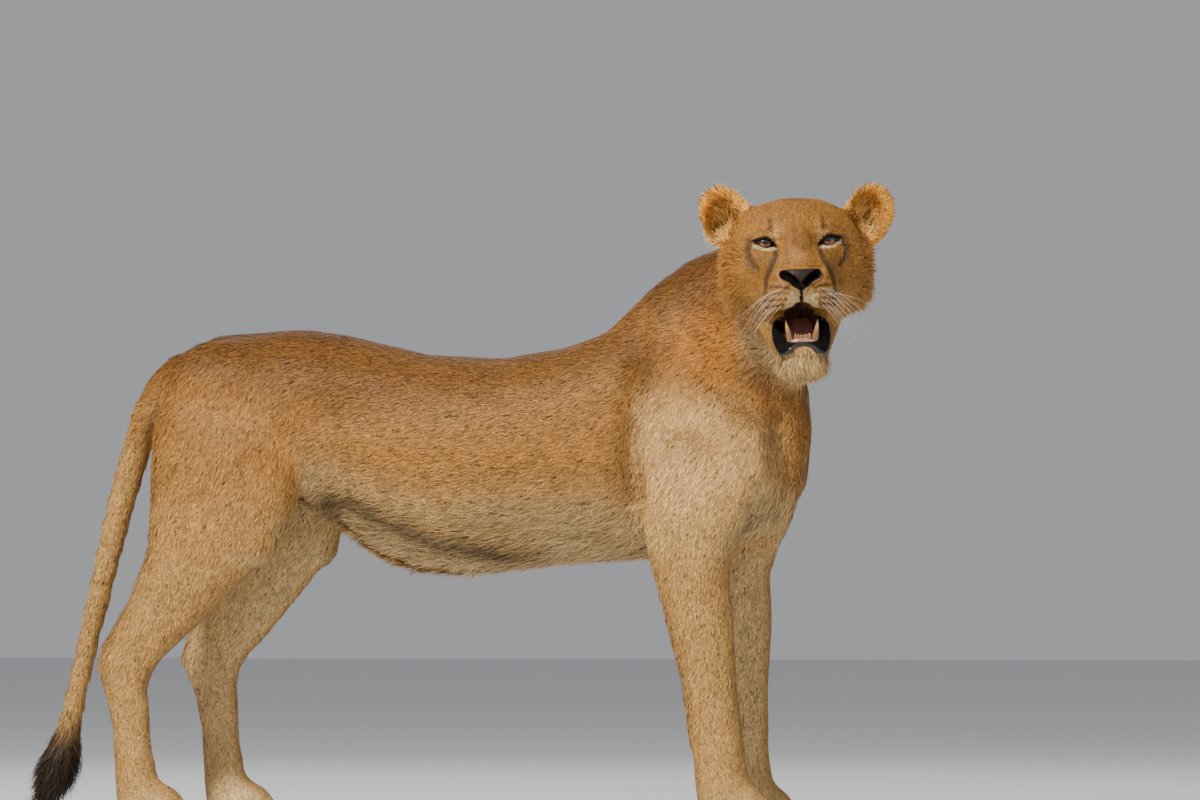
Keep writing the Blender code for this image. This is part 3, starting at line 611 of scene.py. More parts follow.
def make_skin():
    skin = joined_flesh()
    remesh(skin, SKIN_GRAIN)
    skin = keep_largest(skin)
    points = points_of(skin)
    joined = Neighbours(skin)
    soft = 1 - np.maximum(on_head(points) * 0.94, on_paws(points) * 0.9)[:, None]
    points = joined.relax_keeping_size(points, 6)
    points = joined.relax_keeping_size(points, 36, soft)
    put_points(skin, points)
    for chosen in (ends_of_limbs, on_toes, on_face, on_features):
        refine(skin, chosen)
    points = points_of(skin)
    joined = Neighbours(skin)
    points = joined.relax_keeping_size(points, 9, on_head(points)[:, None])
    points = press_bowls(points)
    put_points(skin, points)
    head = on_head(points)
    normals = normals_of(skin)
    push = head_push(to_head(points), normals @ HEAD_AXES) * head
    shaped = body_forms(points, normals)
    gap, toe = toe_gap(points)
    shaped = shaped + normals * (TOE_SWELL * toe - TOE_GROOVE * gap)[:, None]
    points = np.where(head[:, None] > 0, points + normals * push[:, None], shaped)
    points = joined.relax(points, 1, 0.3)
    points = from_head(seat_eyes(to_head(points)))
    put_points(skin, points)
    return skin, joined


# ---------------- the lie, length and thickness of the coat
LIE = {  # which way the hair points on each part: ahead, to the left, up
    "rump": (-1, 0, -0.45), "belly": (-1, 0, -0.22), "chest": (-1, 0, -0.35), "neck": (-1, 0.1, -0.45),
    "shoulder": (-0.55, 0, -1), "thigh": (-0.45, 0, -1), "forearm": (-0.2, 0, -1), "shank": (-0.45, 0, -1),
    "hind_foot": (0.05, 0, -1), "forepaw": (0.1, 0, -1), "tail": (-0.38, -0.05, -1),
}
HAIR = {  # hair length, tufts on a square metre, lift off the skin, width, all for each part
    "rump": (0.016, 165000, 0.1, 0.002), "belly": (0.017, 165000, 0.1, 0.002),
    "chest": (0.016, 165000, 0.1, 0.002), "neck": (0.018, 180000, 0.12, 0.0019),
    "shoulder": (0.015, 170000, 0.1, 0.0019), "thigh": (0.016, 165000, 0.1, 0.002),
    "forearm": (0.012, 180000, 0.1, 0.0018), "shank": (0.013, 180000, 0.12, 0.0018),
    "hind_foot": (0.01, 200000, 0.1, 0.0017), "forepaw": (0.009, 200000, 0.1, 0.0017),
    "tail": (0.012, 220000, 0.12, 0.0018), "head": (0.011, 340000, 0.13, 0.0013),
    "lower_jaw": (0.012, 340000, 0.18, 0.0013), "ear": (0.01, 420000, 0.1, 0.001),
}
NOSE_TIP = np.array((0.0, 0.125, -0.062))


def kind_of(name):
    if name in ("head", "nose", "eye_right", "eye_left"):
        return "head"
    for kind in HAIR:
        if name.startswith(kind):
            return kind
    return name


def lie_of_coat(joined, kinds, points, normals):
    """Which way the hair points, and how far it turns every way where two lies meet, from 0 to 1."""
    lie = np.zeros_like(points)
    for kind, direction in LIE.items():
        lie[kinds == kind] = direction
    feet = (ramp(points[:, 2], 0.085, 0.045) * among(kinds, "hind_foot", "forepaw"))[:, None]
    lie = lie + feet * np.array((1.3, 0, 0.35))
    throat = (ramp(normals[:, 0], 0.25, 0.6) * among(kinds, "neck", "chest"))[:, None]
    lie = lie * (1 - throat) + throat * np.array((-0.1, 0, -1))
    local = to_head(points)
    face = unit(local - NOSE_TIP)
    face[:, 2] -= 0.25 * ramp(local[:, 2], -0.05, -0.12)
    chin = (ramp(local[:, 2], -0.16, -0.185) * ramp(local[:, 1], 0.0, 0.04))[:, None]
    face = face * (1 - chin) + chin * np.array((0, -0.15, -1))
    lie = np.where(np.isin(kinds, ("head", "lower_jaw"))[:, None], face @ HEAD_AXES.T, lie)
    side = np.sign(local[:, 0])[:, None]
    ears = unit(local - side * np.array((0.088, 0, 0)) - np.array((0, -0.08, -0.012)))
    bowl = ear_bowl(local)[:, None]
    ears = ears * (1 - bowl) + bowl * unit(side * np.array((0.75, 0, 0)) + np.array((0, 0.3, 0.6)))
    lie = np.where((kinds == "ear")[:, None], ears @ HEAD_AXES.T, lie)
    lie = joined.relax(unit(lie), 34, 0.6)
    lie = lie - normals * (lie * normals).sum(axis=1, keepdims=True)
    loose = ramp(np.linalg.norm(lie, axis=1), 0.85, 0.25)
    return unit(lie), loose


def coat_of(kinds, points, normals, loose):
    """Length, thickness, lift, width and turn of the hair at each point of the skin."""
    length, density, lift, width = np.array([HAIR[kind] for kind in kinds]).T.copy()
    local = to_head(points)
    wide, ahead, high = folded(local)
    head = np.isin(kinds, ("head", "lower_jaw"))
    face = head & (ahead > -0.03)
    # shortest on the nose's bridge, longer back over the cheeks
    length = np.where(face, 0.006 + 0.005 * ramp(ahead, 0.08, -0.02), length)
    width = np.where(face, 0.0009 + 0.0004 * ramp(ahead, 0.08, -0.02), width)
    density = np.where(face, 640000, density)
    lift = np.where(face, 0.15, lift)
    ruff = head * ramp(wide, 0.08, 0.102) * ramp(high, 0.0, -0.03) * ramp(ahead, 0.03, -0.02)
    round_eye = face * ramp(both_openings(local), -0.012, -0.004)
    length = (length + 0.021 * ruff) * (1 - 0.45 * round_eye)
    lift = lift + 0.3 * ruff
    chin = head * ramp(high, -0.182, -0.2) * ramp(ahead, 0.01, 0.05)
    belly = among(kinds, "belly", "chest", "rump") * ramp(-normals[:, 2], 0.35, 0.8)
    back_of_leg = among(kinds, "forearm", "shank", "thigh") * ramp(-normals[:, 0], 0.5, 0.9)
    for mask, longer, higher in ((chin, 0.021, 0.25), (belly, 0.018, 0.2), (back_of_leg, 0.006, 0.12)):
        length = length + longer * mask
        lift = lift + higher * mask
    ear = kinds == "ear"
    bowl = ear_bowl(local) * ear
    tuft = (kinds == "tail") * ramp(points[:, 2], 0.2, 0.14)
    length = length + 0.024 * bowl * ramp(wide, 0.15, 0.105)
    length = length + 0.007 * ear * ramp(high, 0.045, 0.075) + 0.034 * tuft
    lift = lift + 0.35 * bowl + 0.06 * ear * (1 - bowl) + 0.1 * tuft
    toes = among(kinds, "forepaw", "hind_foot") * ramp(points[:, 2], 0.075, 0.05)
    length = length * (1 - 0.4 * toes)
    width = width * (1 - 0.3 * toes)
    density = density * (1 - 0.35 * bowl) * (1 + 1.6 * loose + 0.25 * toes)
    turn = 0.2 + 0.12 * ear + 1.1 * loose
    return np.stack([length, density * bare_of_hair(local), lift, width, turn], axis=1)


def ear_bowl(local):
    """1 in the hollow of an ear, 0 on its rim and back."""
    middle, radii = EAR_BOWL
    q = (np.abs(local[:, 0]) - middle[0]) ** 2 / radii[0] ** 2 + (local[:, 2] - middle[2]) ** 2 / radii[2] ** 2
    return ramp(q, 1.15, 0.75) * (local[:, 1] > -0.125) * (local[:, 1] < -0.03)


def bare_of_hair(local):
    """0 on the nose, lips, lids and inside the mouth, 1 where hair grows."""
    flat, ahead = from_middle(local), local[:, 1]
    bare = (inside_outline(flat, NOSE_EDGE) > -0.001) & (ahead > 0.06)
    bare |= (inside_outline(flat, MOUTH) > -0.0005) & (ahead > -0.05)
    bare |= ((both_openings(local) > -0.0022) | (in_eye_black(local) > 0.0008)) & (ahead > 0.0)
    return ~(bare & (on_head(from_head(local)) > 0)) * 1.0


# ---------------- the markings, shared by skin and coat
TAWNY = (0.385, 0.178, 0.042)
# the back's dark brown, also laid as painted shade on the flanks and withers
DARK_BACK_AND_SHADE = (0.15, 0.058, 0.01)
SAND = (0.5, 0.285, 0.092)
ORANGE = (0.43, 0.15, 0.014)
CREAM = (0.66, 0.47, 0.23)
# a dark brown, laid both for dark marks and as painted shade
DARK_BROWN_AND_SHADE = (0.12, 0.056, 0.015)
DARK = (0.03, 0.018, 0.011)
BLACK = (0.005, 0.004, 0.004)
# the mouth's red flesh darkened as painted shade
SHADED_THROAT = (0.095, 0.042, 0.036)


SPOT_ROWS = (  # ends of each row of whisker spots, seen from the front: out from the middle, up
    ((0.02, -0.0845), (0.046, -0.0825)), ((0.022, -0.0935), (0.056, -0.093)),
    ((0.024, -0.1025), (0.058, -0.104)), ((0.028, -0.112), (0.054, -0.115)),
)
SPOTS_IN_ROW = 6


def painted(colour, layers):
    """The colours with others laid over them, one after another, each as thick as its mask."""
    for tint, mask in layers:
        mask = np.clip(mask, 0, 1)[:, None]
        colour = colour * (1 - mask) + np.array(tint) * mask
    return colour


def markings(kinds, points, normals):
    """The colour of each point of the skin before the fine grain, from where it is on the animal."""
    local, places = to_head(points), to_body(points)
    ahead, aside, up = places.T
    trunk = among(kinds, "rump", "belly", "chest", "neck", "shoulder", "thigh")
    legs = among(kinds, "forearm", "shank", "hind_foot", "forepaw")
    tail = among(kinds, "tail")
    side = ramp(np.abs(normals[:, 1]), 0.1, 0.5)
    under = under_fold(places)
    edge = ramp(ahead, -0.21, -0.17) * ramp(ahead, 0.26, 0.1) * trunk
    shade_between_thighs = ramp(ahead, -0.31, -0.27) * ramp(ahead, -0.15, -0.19) * among(kinds, "belly", "rump")
    crease = flat_distance(places[:, [0, 2]], SHOULDER_BACK)
    before = before_shoulder(places)
    inner = np.where(aside < 0, normals[:, 1], -normals[:, 1])
    colour = painted(np.tile(TAWNY, (len(points), 1)), (
        # the shoulders paler below the withers: partly their sand colour, partly painted light
        ((0.72, 0.43, 0.165), 0.85 * (kinds == "shoulder") * ramp(up, 0.77, 0.69)),
        (SAND, 0.8 * legs),
        (SAND, 0.6 * trunk * ramp(up, 0.62, 0.5)),
        (DARK_BACK_AND_SHADE, 0.7 * trunk * ramp(normals[:, 2], 0.1, 0.75)),
        (DARK_BACK_AND_SHADE, 0.55 * among(kinds, "rump", "thigh") * ramp(up, 0.7, 0.8)),
        (DARK_BACK_AND_SHADE, 0.75 * (kinds == "neck") * ramp(up, 0.8, 0.9)),
        (ORANGE, 0.75 * blob(places, (0.46, -0.12, 0.81), (0.12, 0.12, 0.1))),
        (ORANGE, 0.6 * blob(places, (0.44, 0.12, 0.8), (0.13, 0.12, 0.11))),
        (CREAM, 0.75 * trunk * ramp(-normals[:, 2], 0.15, 0.75)),
        # the flank's edge paler as painted light and a painted shadow under it, then painted shade on the belly
        # between the thighs, behind it
        ((0.52, 0.31, 0.12), 0.75 * edge * side * ramp(under, -0.06, -0.01) * (under < 0.002)),
        ((0.045, 0.022, 0.008), 0.95 * edge * side * ramp(under, -0.002, 0.003) * ramp(under, 0.036, 0.012)),
        (DARK_BROWN_AND_SHADE, 0.9 * shade_between_thighs * ramp(up, 0.56, 0.54) * (normals[:, 1] < 0.2)),
        # painted shade in the crease behind the shoulder and on the chest before it
        (DARK_BROWN_AND_SHADE, 0.75 * trunk * side * fade(crease, 0.011) * ramp(up, 0.76, 0.64)),
        (DARK_BROWN_AND_SHADE, 0.3 * trunk * ramp(before, 0.0, 0.008) * ramp(before, 0.06, 0.015)
         * ramp(up, 0.52, 0.56) * ramp(np.abs(aside), 0.0, 0.05)),
        # on both sides, painted shade in the flank's hollow, and the withers darker: their darker coat with
        # painted shade behind the shoulder
        *((DARK_BACK_AND_SHADE, share * blob(places, (middle, far, high), radii)) for far in (-0.1, 0.12)
          for share, middle, high, radii in ((0.62, -0.14, 0.73, (0.21, 0.16, 0.075)),
                                             (0.98, 0.352, 0.785, (0.052, 0.12, 0.085)))),
        (CREAM, 0.6 * np.clip(legs + (kinds == "thigh"), 0, 1) * ramp(inner, 0.25, 0.8)),
        (CREAM, 0.35 * legs * ramp(points[:, 2], 0.1, 0.05)),
        # painted shade in the gaps between the toes
        (DARK_BROWN_AND_SHADE, 0.75 * toe_gap(points)[0]),
        (SAND, tail * (0.4 + 0.55 * ramp(points[:, 2], 0.7, 0.55))),
        (DARK, tail * ramp(points[:, 2], 0.21, 0.165)),
    ))
    return head_markings(colour, kinds, local, normals @ HEAD_AXES)


def spot_layers(flat, front):
    """The rows of whisker spots, each over a faint stripe."""
    for start, end in SPOT_ROWS:
        for step in np.linspace(0, 1, SPOTS_IN_ROW):
            spot = np.array(start) * (1 - step) + np.array(end) * step
            yield DARK, 0.95 * front * np.exp(-((flat - spot) ** 2).sum(axis=1) / 0.0026 ** 2)
        yield DARK_BROWN_AND_SHADE, 0.7 * front * fade(flat_distance(flat, (start, end)), 0.0024)


def head_markings(colour, kinds, local, facing):
    head, ear = among(kinds, "head", "lower_jaw", "ear"), among(kinds, "ear")
    flat, bowl = from_middle(local), ear_bowl(local)
    wide, ahead, high = folded(local)
    front = head * ramp(ahead, -0.02, 0.02)
    out, under = wide - EYE[0], lid_height("lower", wide - EYE[0]) - (high - EYE[2])
    nose = inside_outline(flat, NOSE_EDGE)
    on_nose = front * (ahead > 0.06)
    in_mouth = (on_head(from_head(local)) > 0) * ramp(inside_outline(flat, MOUTH), -0.0015, 0.0005)
    in_mouth = in_mouth * (ahead > -0.05)
    return painted(colour, (
        ((0.335, 0.142, 0.026), 0.88 * head),
        (DARK_BROWN_AND_SHADE, 0.45 * front * blob(flat, (0.062, -0.045), (0.03, 0.045))),
        (DARK_BACK_AND_SHADE, 0.35 * head * ramp(facing[:, 2], 0.4, 0.95)),
        (DARK_BROWN_AND_SHADE, 0.45 * head * blob(local, (0, 0.06, -0.02), (0.03, 0.09, 0.055))),
        # paler round the mouth, on the cheeks' lower edge and the throat
        (SAND, 0.5 * head * ramp(high, -0.075, -0.14)),
        ((0.52, 0.27, 0.075), 0.8 * front * blob(flat, (0.04, -0.098), (0.034, 0.03)) ** 0.6),
        (CREAM, 0.95 * front * blob(flat, (0.0125, -0.107), (0.02, 0.022)) ** 0.5),
        (CREAM, 0.52 * head * ramp(high, -0.178, -0.192)),
        ((0.56, 0.31, 0.1), 0.4 * front * blob(local, (0, 0.085, -0.04), (0.02, 0.06, 0.02))),
        # round the eyes
        (CREAM, front * ramp(under, -0.001, 0.0015) * ramp(under, 0.0085, 0.005)
         * ramp(out, -0.02, -0.012) * ramp(out, 0.026, 0.018)),
        (CREAM, 0.45 * front * blob(flat, (0.0335, -0.0035), (0.0075, 0.0125)) ** 0.7),
        ((0.62, 0.33, 0.095), 0.6 * front * blob(flat, (0.04, 0.01), (0.015, 0.02)) ** 0.7),
        ((0.12, 0.038, 0.004), 1.0 * front * fade(wide - 0.041, 0.0052)
         * ramp(high, 0.002, 0.006) * ramp(high, 0.034, 0.02)),
        (DARK_BROWN_AND_SHADE, 0.6 * head * blob(flat, (0, 0.06), (0.034, 0.022))),
        (DARK, 0.9 * front * fade(flat_distance(flat, TEAR_LINE), 0.0036) * ramp(high, -0.098, -0.08)),
        (DARK, 0.82 * head * fade(flat_distance(flat, CHEEK_LINE), 0.0034) * (ahead > -0.03)),
        (DARK_BROWN_AND_SHADE, 0.8 * front * blob(local, (-0.008, 0.06, -0.0255), (0.009, 0.06, 0.008))),
        (BLACK, front * ramp(in_eye_black(local), -0.0008, 0.0006) * (ahead > 0)),
        (BLACK, front * ramp(both_openings(local), -0.0022, -0.001) * (ahead > 0)),
        *spot_layers(flat, front),
        # the ears
        ((0.86, 0.4, 0.06), 0.92 * ear),
        (DARK, ear * ramp(-facing[:, 1], 0.15, 0.6)),
        ((0.85, 0.47, 0.13), 0.9 * ear * bowl),
        # painted shade deep in each ear's hollow, where it opens
        (BLACK, 0.92 * ear * blob(flat, (0.118, 0.01), (0.012, 0.011)) ** 0.6 * bowl),
        # bare skin of the nose and mouth
        ((0.4, 0.2, 0.12), 0.7 * on_nose * ramp(nose, -0.003, -0.001) * ramp(high, -0.056, -0.06)),
        ((0.03, 0.019, 0.017), on_nose * ramp(nose, 0.0002, 0.0016)),
        (BLACK, on_nose * ramp(flat_distance(flat, NOSTRIL), 0.0082, 0.0068)),
        (BLACK, on_nose * ramp(high, -0.0835, -0.087) * ramp(nose, -0.001, 0.001)),
        (BLACK, on_nose * ramp(flat_distance(flat, ((0, -0.088), (0, -0.11))), 0.0022, 0.0012)),
        (BLACK, in_mouth),
        # the back of the open mouth, its flesh darkened as painted shade
        (SHADED_THROAT, in_mouth * ramp(wide, 0.03, 0.024) * ramp(ahead, 0.068, 0.05)),
    ))


# ---------------- tufts
def tuft_shapes(roots, normals, lies, coat):
    """Three-faced blades that leave the skin at their roots and lie along it: the five points of each."""
    count = len(roots)
    yaw = (DICE.normal(0, 1, count) * coat[:, 4])[:, None]
    across = np.cross(normals, lies)
    along = lies * np.cos(yaw) + across * np.sin(yaw)
    across = np.cross(normals, along)
    length = (coat[:, 0] * DICE.uniform(0.7, 1.25, count))[:, None]
    lift = np.abs(coat[:, 2] * DICE.uniform(0.5, 1.6, count))[:, None]
    width = (coat[:, 3] * DICE.uniform(0.75, 1.3, count))[:, None] / 2
    sway = DICE.normal(0, 0.1, count)[:, None]
    root = roots - normals * np.minimum(length * 0.06, 0.001)
    middle = root + length * 0.5 * (along + normals * lift * 1.3) + normals * length * 0.06
    tip = root + length * (along * np.sqrt(np.maximum(1 - lift ** 2, 0.1)) + normals * lift + across * sway)
    half = across * width
    return np.stack([root - half, root + half, middle - half * 0.8, middle + half * 0.8, tip], axis=1)


BLADE = np.array(((0, 1, 3), (0, 3, 2), (2, 3, 4)))  # its faces
ALONG = np.array((0.0, 0.0, 0.5, 0.5, 1.0))  # how far along it each point lies
PATCH = np.array(((-1, -1), (1, -1), (-1, 0), (1, 0), (0, 1))) * 0.0015  # a blade's corners in the UV map
BLADE_POINTS = len(ALONG)


def grow(name, chosen, shape):
    """Tufts over the chosen faces of the skin, as one or more pieces."""
    faces = shape["faces"][chosen]
    corner = shape["points"][faces]
    crossed = np.cross(corner[:, 1] - corner[:, 0], corner[:, 2] - corner[:, 0])
    areas = np.linalg.norm(crossed, axis=1) / 2
    wanted = areas * shape["coat"][faces][:, :, 1].min(axis=1)
    number = np.floor(wanted + DICE.random(len(wanted))).astype(int)
    which = np.repeat(np.arange(len(faces)), number)
    order = DICE.permutation(len(which))
    which = which[order]
    a, b = DICE.random((2, len(which)))
    over = a + b > 1
    a, b = np.where(over, 1 - a, a), np.where(over, 1 - b, b)
    share = np.stack([1 - a - b, a, b], axis=1)[:, :, None]

    def between(values):
        return (values[faces[which]] * share).sum(axis=1)

    # the normals lean to those of the faces themselves, so that no tuft dives under the skin in a crease
    roots, lies = between(shape["points"]), between(shape["lie"])
    normals = unit(unit(between(shape["normals"])) + 2.2 * unit(crossed)[which])
    lies = unit(lies - normals * (lies * normals).sum(axis=1, keepdims=True))
    corners = tuft_shapes(roots, normals, lies, between(shape["coat"]))
    corners[:, :, 2] = np.maximum(corners[:, :, 2], COAT_OVER_FLOOR)
    colours = between(shape["colour"])
    patches = (shape["uv"][chosen][which] * share).sum(axis=1)
    made = []
    pieces = max(1, math.ceil(len(which) / COAT_PIECE))
    for part, rows in enumerate(np.array_split(np.arange(len(which)), pieces)):
        blades = np.arange(len(rows))[:, None, None] * BLADE_POINTS + BLADE
        piece = new_piece(f"coat_{name}_{part + 1}", corners[rows].reshape(-1, 3), blades.reshape(-1, 3))
        give(piece, "marking", np.repeat(colours[rows], BLADE_POINTS, axis=0), "FLOAT_VECTOR")
        give(piece, "along", np.tile(ALONG, len(rows)))
        give(piece, "shade", np.repeat(DICE.normal(0, 1, len(rows)), BLADE_POINTS))
        spots = (patches[rows][:, None, :] + PATCH)[:, BLADE.ravel()]
        set_numbers(piece.data.uv_layers.new(name=UV_NAME).uv, "vector", spots)
        made.append(piece)
    return made


# ---------------- rounded cords: lids, lips, teeth, whiskers
def smooth_path(points, steps):
    """A path through the points without corners, evenly stepped."""
    points = np.asarray(points, float)
    ends = np.vstack([2 * points[0] - points[1], points, 2 * points[-1] - points[-2]])
    path = []
    for i in range(1, len(ends) - 2):
        for t in np.arange(0, 1, 1 / steps):
            a, b, c, d = ends[i - 1:i + 3]
            path.append(0.5 * (2 * b + (c - a) * t + (2 * a - 5 * b + 4 * c - d) * t ** 2
                               + (3 * b - a - 3 * c + d) * t ** 3))
    return np.array(path + [points[-1]])


def cord(path, radii, sides=8, flatten=1.0):
    """Points and faces of a closed, tapering cord along a path."""
    path = np.asarray(path, float)
    radii = np.broadcast_to(radii, len(path))
    heading = unit(np.gradient(path, axis=0))
    side = unit(np.cross(heading, np.broadcast_to((0, 0, 1), path.shape)) + 1e-9)
    other = np.cross(side, heading)
    turn = np.linspace(0, 2 * math.pi, sides, endpoint=False)
    ring = (np.cos(turn)[None, :, None] * side[:, None] + np.sin(turn)[None, :, None] * other[:, None] * flatten)
    points = (path[:, None] + ring * radii[:, None, None]).reshape(-1, 3)
    rings = np.arange(len(path) - 1)[:, None] * sides
    start = np.arange(sides)
    following = (start + 1) % sides
    first, after = (rings + start).ravel(), (rings + following).ravel()
    last, count = (len(path) - 1) * sides, len(points)
    points = np.vstack([points, path[0] - heading[0] * radii[0] * 0.4, path[-1] + heading[-1] * radii[-1] * 0.4])
    walls = (first, after, after + sides), (first, after + sides, first + sides)
    caps = (following, start, np.full(sides, count)), (last + start, last + following, np.full(sides, count + 1))
    return points, np.concatenate([np.stack(columns, 1) for columns in walls + caps])


def piece_of(name, shapes):
    piece = new_piece(name, *stacked(shapes))
    with editing(piece):
        bpy.ops.mesh.normals_make_consistent(inside=False)
    return smooth(piece)


def skin_tree(skin):
    return BVHTree.FromPolygons(points_of(skin).tolist(), triangles_of(skin).tolist())


def on_skin(tree, across, up, proud=0.0, start=0.2):
    """The place on the face in front of a flat place, in the head's own places."""
    begin = from_head(np.array((across, start, up)))
    hit = tree.ray_cast(Vector(begin), Vector(-HEAD_AXES[:, 1]))[0]
    if hit is None:
        hit = from_head(np.array((across, 0.05, up)))
    return to_head(np.array(hit)) + (0, proud, 0)


def eye_ball(side):
    deselect()
    bpy.ops.mesh.primitive_uv_sphere_add(segments=64, ring_count=48, radius=EYE_RADIUS, location=(0, 0, 0))
    ball = bpy.context.object
    ball.name = f"eyeball_{SIDES[side]}"
    points = points_of(ball)[:, [0, 2, 1]] * (1, 1, -1)  # the poles look ahead and behind
    angle = np.arccos(np.clip(points[:, 1] / EYE_RADIUS, -1, 1))
    gaze = np.array(Matrix.Rotation(GAZE_UP, 3, "X")) @ np.array(Matrix.Rotation(-GAZE_OUT * side, 3, "Z"))
    bulge = 1 + 0.035 * ramp(angle, 0.56, 0.3)
    put_points(ball, from_head(eye_middle(side) + (points * bulge[:, None]) @ gaze.T))
    give(ball, "from_pupil", angle)
    give(ball, "turn", np.arctan2(points[:, 2], points[:, 0]))
    return smooth(ball)


def lid_path(side, name):
    """The edge of a lid, lying on the ball."""
    across = np.linspace(*LID_ENDS, LID_STEPS)
    high = lid_height(name, across)
    for _ in range(3):
        high[1:-1] = (high[:-2] + 2 * high[1:-1] + high[2:]) / 4
    reach = EYE_RADIUS + 0.0012
    ahead = np.sqrt(np.maximum(reach ** 2 - across ** 2 - high ** 2, 0.0045 ** 2))
    return from_head(eye_middle(side) + np.stack([across * side, ahead, high], axis=1))


def eyelids(side):
    taper = np.sin(np.linspace(0.12, math.pi - 0.12, LID_STEPS)) ** 0.5
    upper, lower = (cord(lid_path(side, name), LID_EDGE[name] * taper, 10) for name in ("upper", "lower"))
    return piece_of(f"eyelid_edges_{SIDES[side]}", [upper, lower])


def lips(tree):
    """The glossy black edges of the mouth, thickest along the lower jaw."""
    upper, lower = MOUTH[:7], MOUTH[6:]
    shapes = []
    for side in SIDES:
        path = smooth_path([on_skin(tree, side * (a - 0.0012), b, -0.001) for a, b in upper], 4)
        shapes.append(cord(from_head(path), 0.0011 + 0.0004 * np.linspace(0, 1, len(path)), 10))
    places = [(a, b + 0.002) for a, b in lower]
    round_jaw = places + [(-a, b) for a, b in reversed(places[:-1])]
    path = smooth_path([on_skin(tree, a, b, 0.0005) for a, b in round_jaw], 4)
    steps = np.abs(np.linspace(-1, 1, len(path)))
    fat = 0.003 + 0.0014 * fade(steps - 0.42, 0.12) - 0.002 * ramp(steps, 0.5, 0.85)
    shapes.append(cord(from_head(path), fat, 12))
    return piece_of("lips", shapes)


CANINE = ((0.0178, 0.074, -0.178), (0.0205, 0.079, -0.166), (0.0235, 0.082, -0.153), (0.0257, 0.081, -0.1385))
INCISORS = ((0.0022, 0.0026, -0.1625), (0.0065, 0.0028, -0.1618), (0.0112, 0.003, -0.1608))  # across, radius, top
INCISOR_TAPER = np.array((1, 1.05, 1.1, 1.12, 1.1, 1.05, 0.95, 0.75, 0.35))
GUM_RIDGE = ((0.028, 0.03, -0.176), (0.0255, 0.06, -0.177), (0.0205, 0.075, -0.1765),
             (0.011, 0.0805, -0.1735), (0.0, 0.082, -0.1728))  # from one side to the middle


def lower_teeth():
    shapes = []
    for side in SIDES:
        spine = smooth_path([(side * x, y, z) for x, y, z in CANINE], 6)
        steps = np.linspace(0, 1, len(spine))
        shapes.append(cord(from_head(spine), 0.0056 * (1 - steps ** 1.7) + 0.0006, 20))
    for across, radius, top in INCISORS:
        for x in (across, -across):
            path = smooth_path([(x, 0.08, -0.176), (x, 0.083, -0.169), (x * 1.04, 0.0845, top)], 4)
            shapes.append(cord(from_head(path), INCISOR_TAPER * radius, 12, 0.75))
    return piece_of("teeth", shapes)


def gums():
    ridge = smooth_path([*GUM_RIDGE, *((-x, y, z) for x, y, z in reversed(GUM_RIDGE[:-1]))], 5)
    return piece_of("gum", [cord(from_head(ridge), 0.0058, 14)])


def tongue():
    """The tongue, from the frame's own, rounded off and furrowed down its middle."""
    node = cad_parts["tongue"]
    body = new_piece("tongue_flesh", points_of(node), triangles_of(node))
    remesh(body, TONGUE_GRAIN)
    local = to_head(Neighbours(body).relax_keeping_size(points_of(body), 14))
    top = ramp(normals_of(body) @ HEAD_AXES[:, 2], 0.1, 0.6)
    local[:, 2] -= 0.0022 * top * fade(local[:, 0], 0.0035)
    put_points(body, from_head(local))
    return smooth(body)


WHISKER_ROWS = ((0.026, 0.045, -0.086), (0.026, 0.054, -0.0935), (0.028, 0.056, -0.1032), (0.031, 0.052, -0.1135))
WHISKERS_IN_ROW = 4  # on each side


def whiskers(tree):
    shapes = []
    for row, (inner, outer, high) in enumerate(WHISKER_ROWS):
        for side in SIDES:
            for k in range(WHISKERS_IN_ROW):
                across = inner + (outer - inner) * k / 3
                root = on_skin(tree, side * across, high - 0.0015 * k, -0.001)
                length = DICE.uniform(0.04, 0.085) * (0.75 + 0.25 * k / 3)
                out = unit(np.array((side * DICE.uniform(0.75, 0.95), DICE.uniform(-0.05, 0.25),
                                     -0.4 - 0.14 * row + DICE.normal(0, 0.12))))
                droop = np.array((0, -0.25, -0.45)) * length * DICE.uniform(0.5, 1.1)
                steps = np.linspace(0, 1, 9)[:, None]
                path = root + out * length * steps + droop * steps ** 2
                shapes.append(cord(from_head(path), WHISKER_RADIUS * (1 - 0.85 * steps[:, 0]), 5))
    return piece_of("whiskers", shapes)


# ---------------- materials
class Value:
    """A socket's output that Python's own signs work on."""

    def __init__(self, finish, socket):
        self.finish, self.socket = finish, socket

    def math(self, operation, *others):
        return self.finish.node("ShaderNodeMath", {"operation": operation}, [self, *others])

    def __add__(self, other):
        return self.math("ADD", other)

    __radd__ = __add__

    def __sub__(self, other):
        return self.math("SUBTRACT", other)

    def __rsub__(self, other):
        return self.finish.node("ShaderNodeMath", {"operation": "SUBTRACT"}, [other, self])

    def __mul__(self, other):
        return self.math("MULTIPLY", other)

    __rmul__ = __mul__

    def sine(self):
        return self.math("SINE")


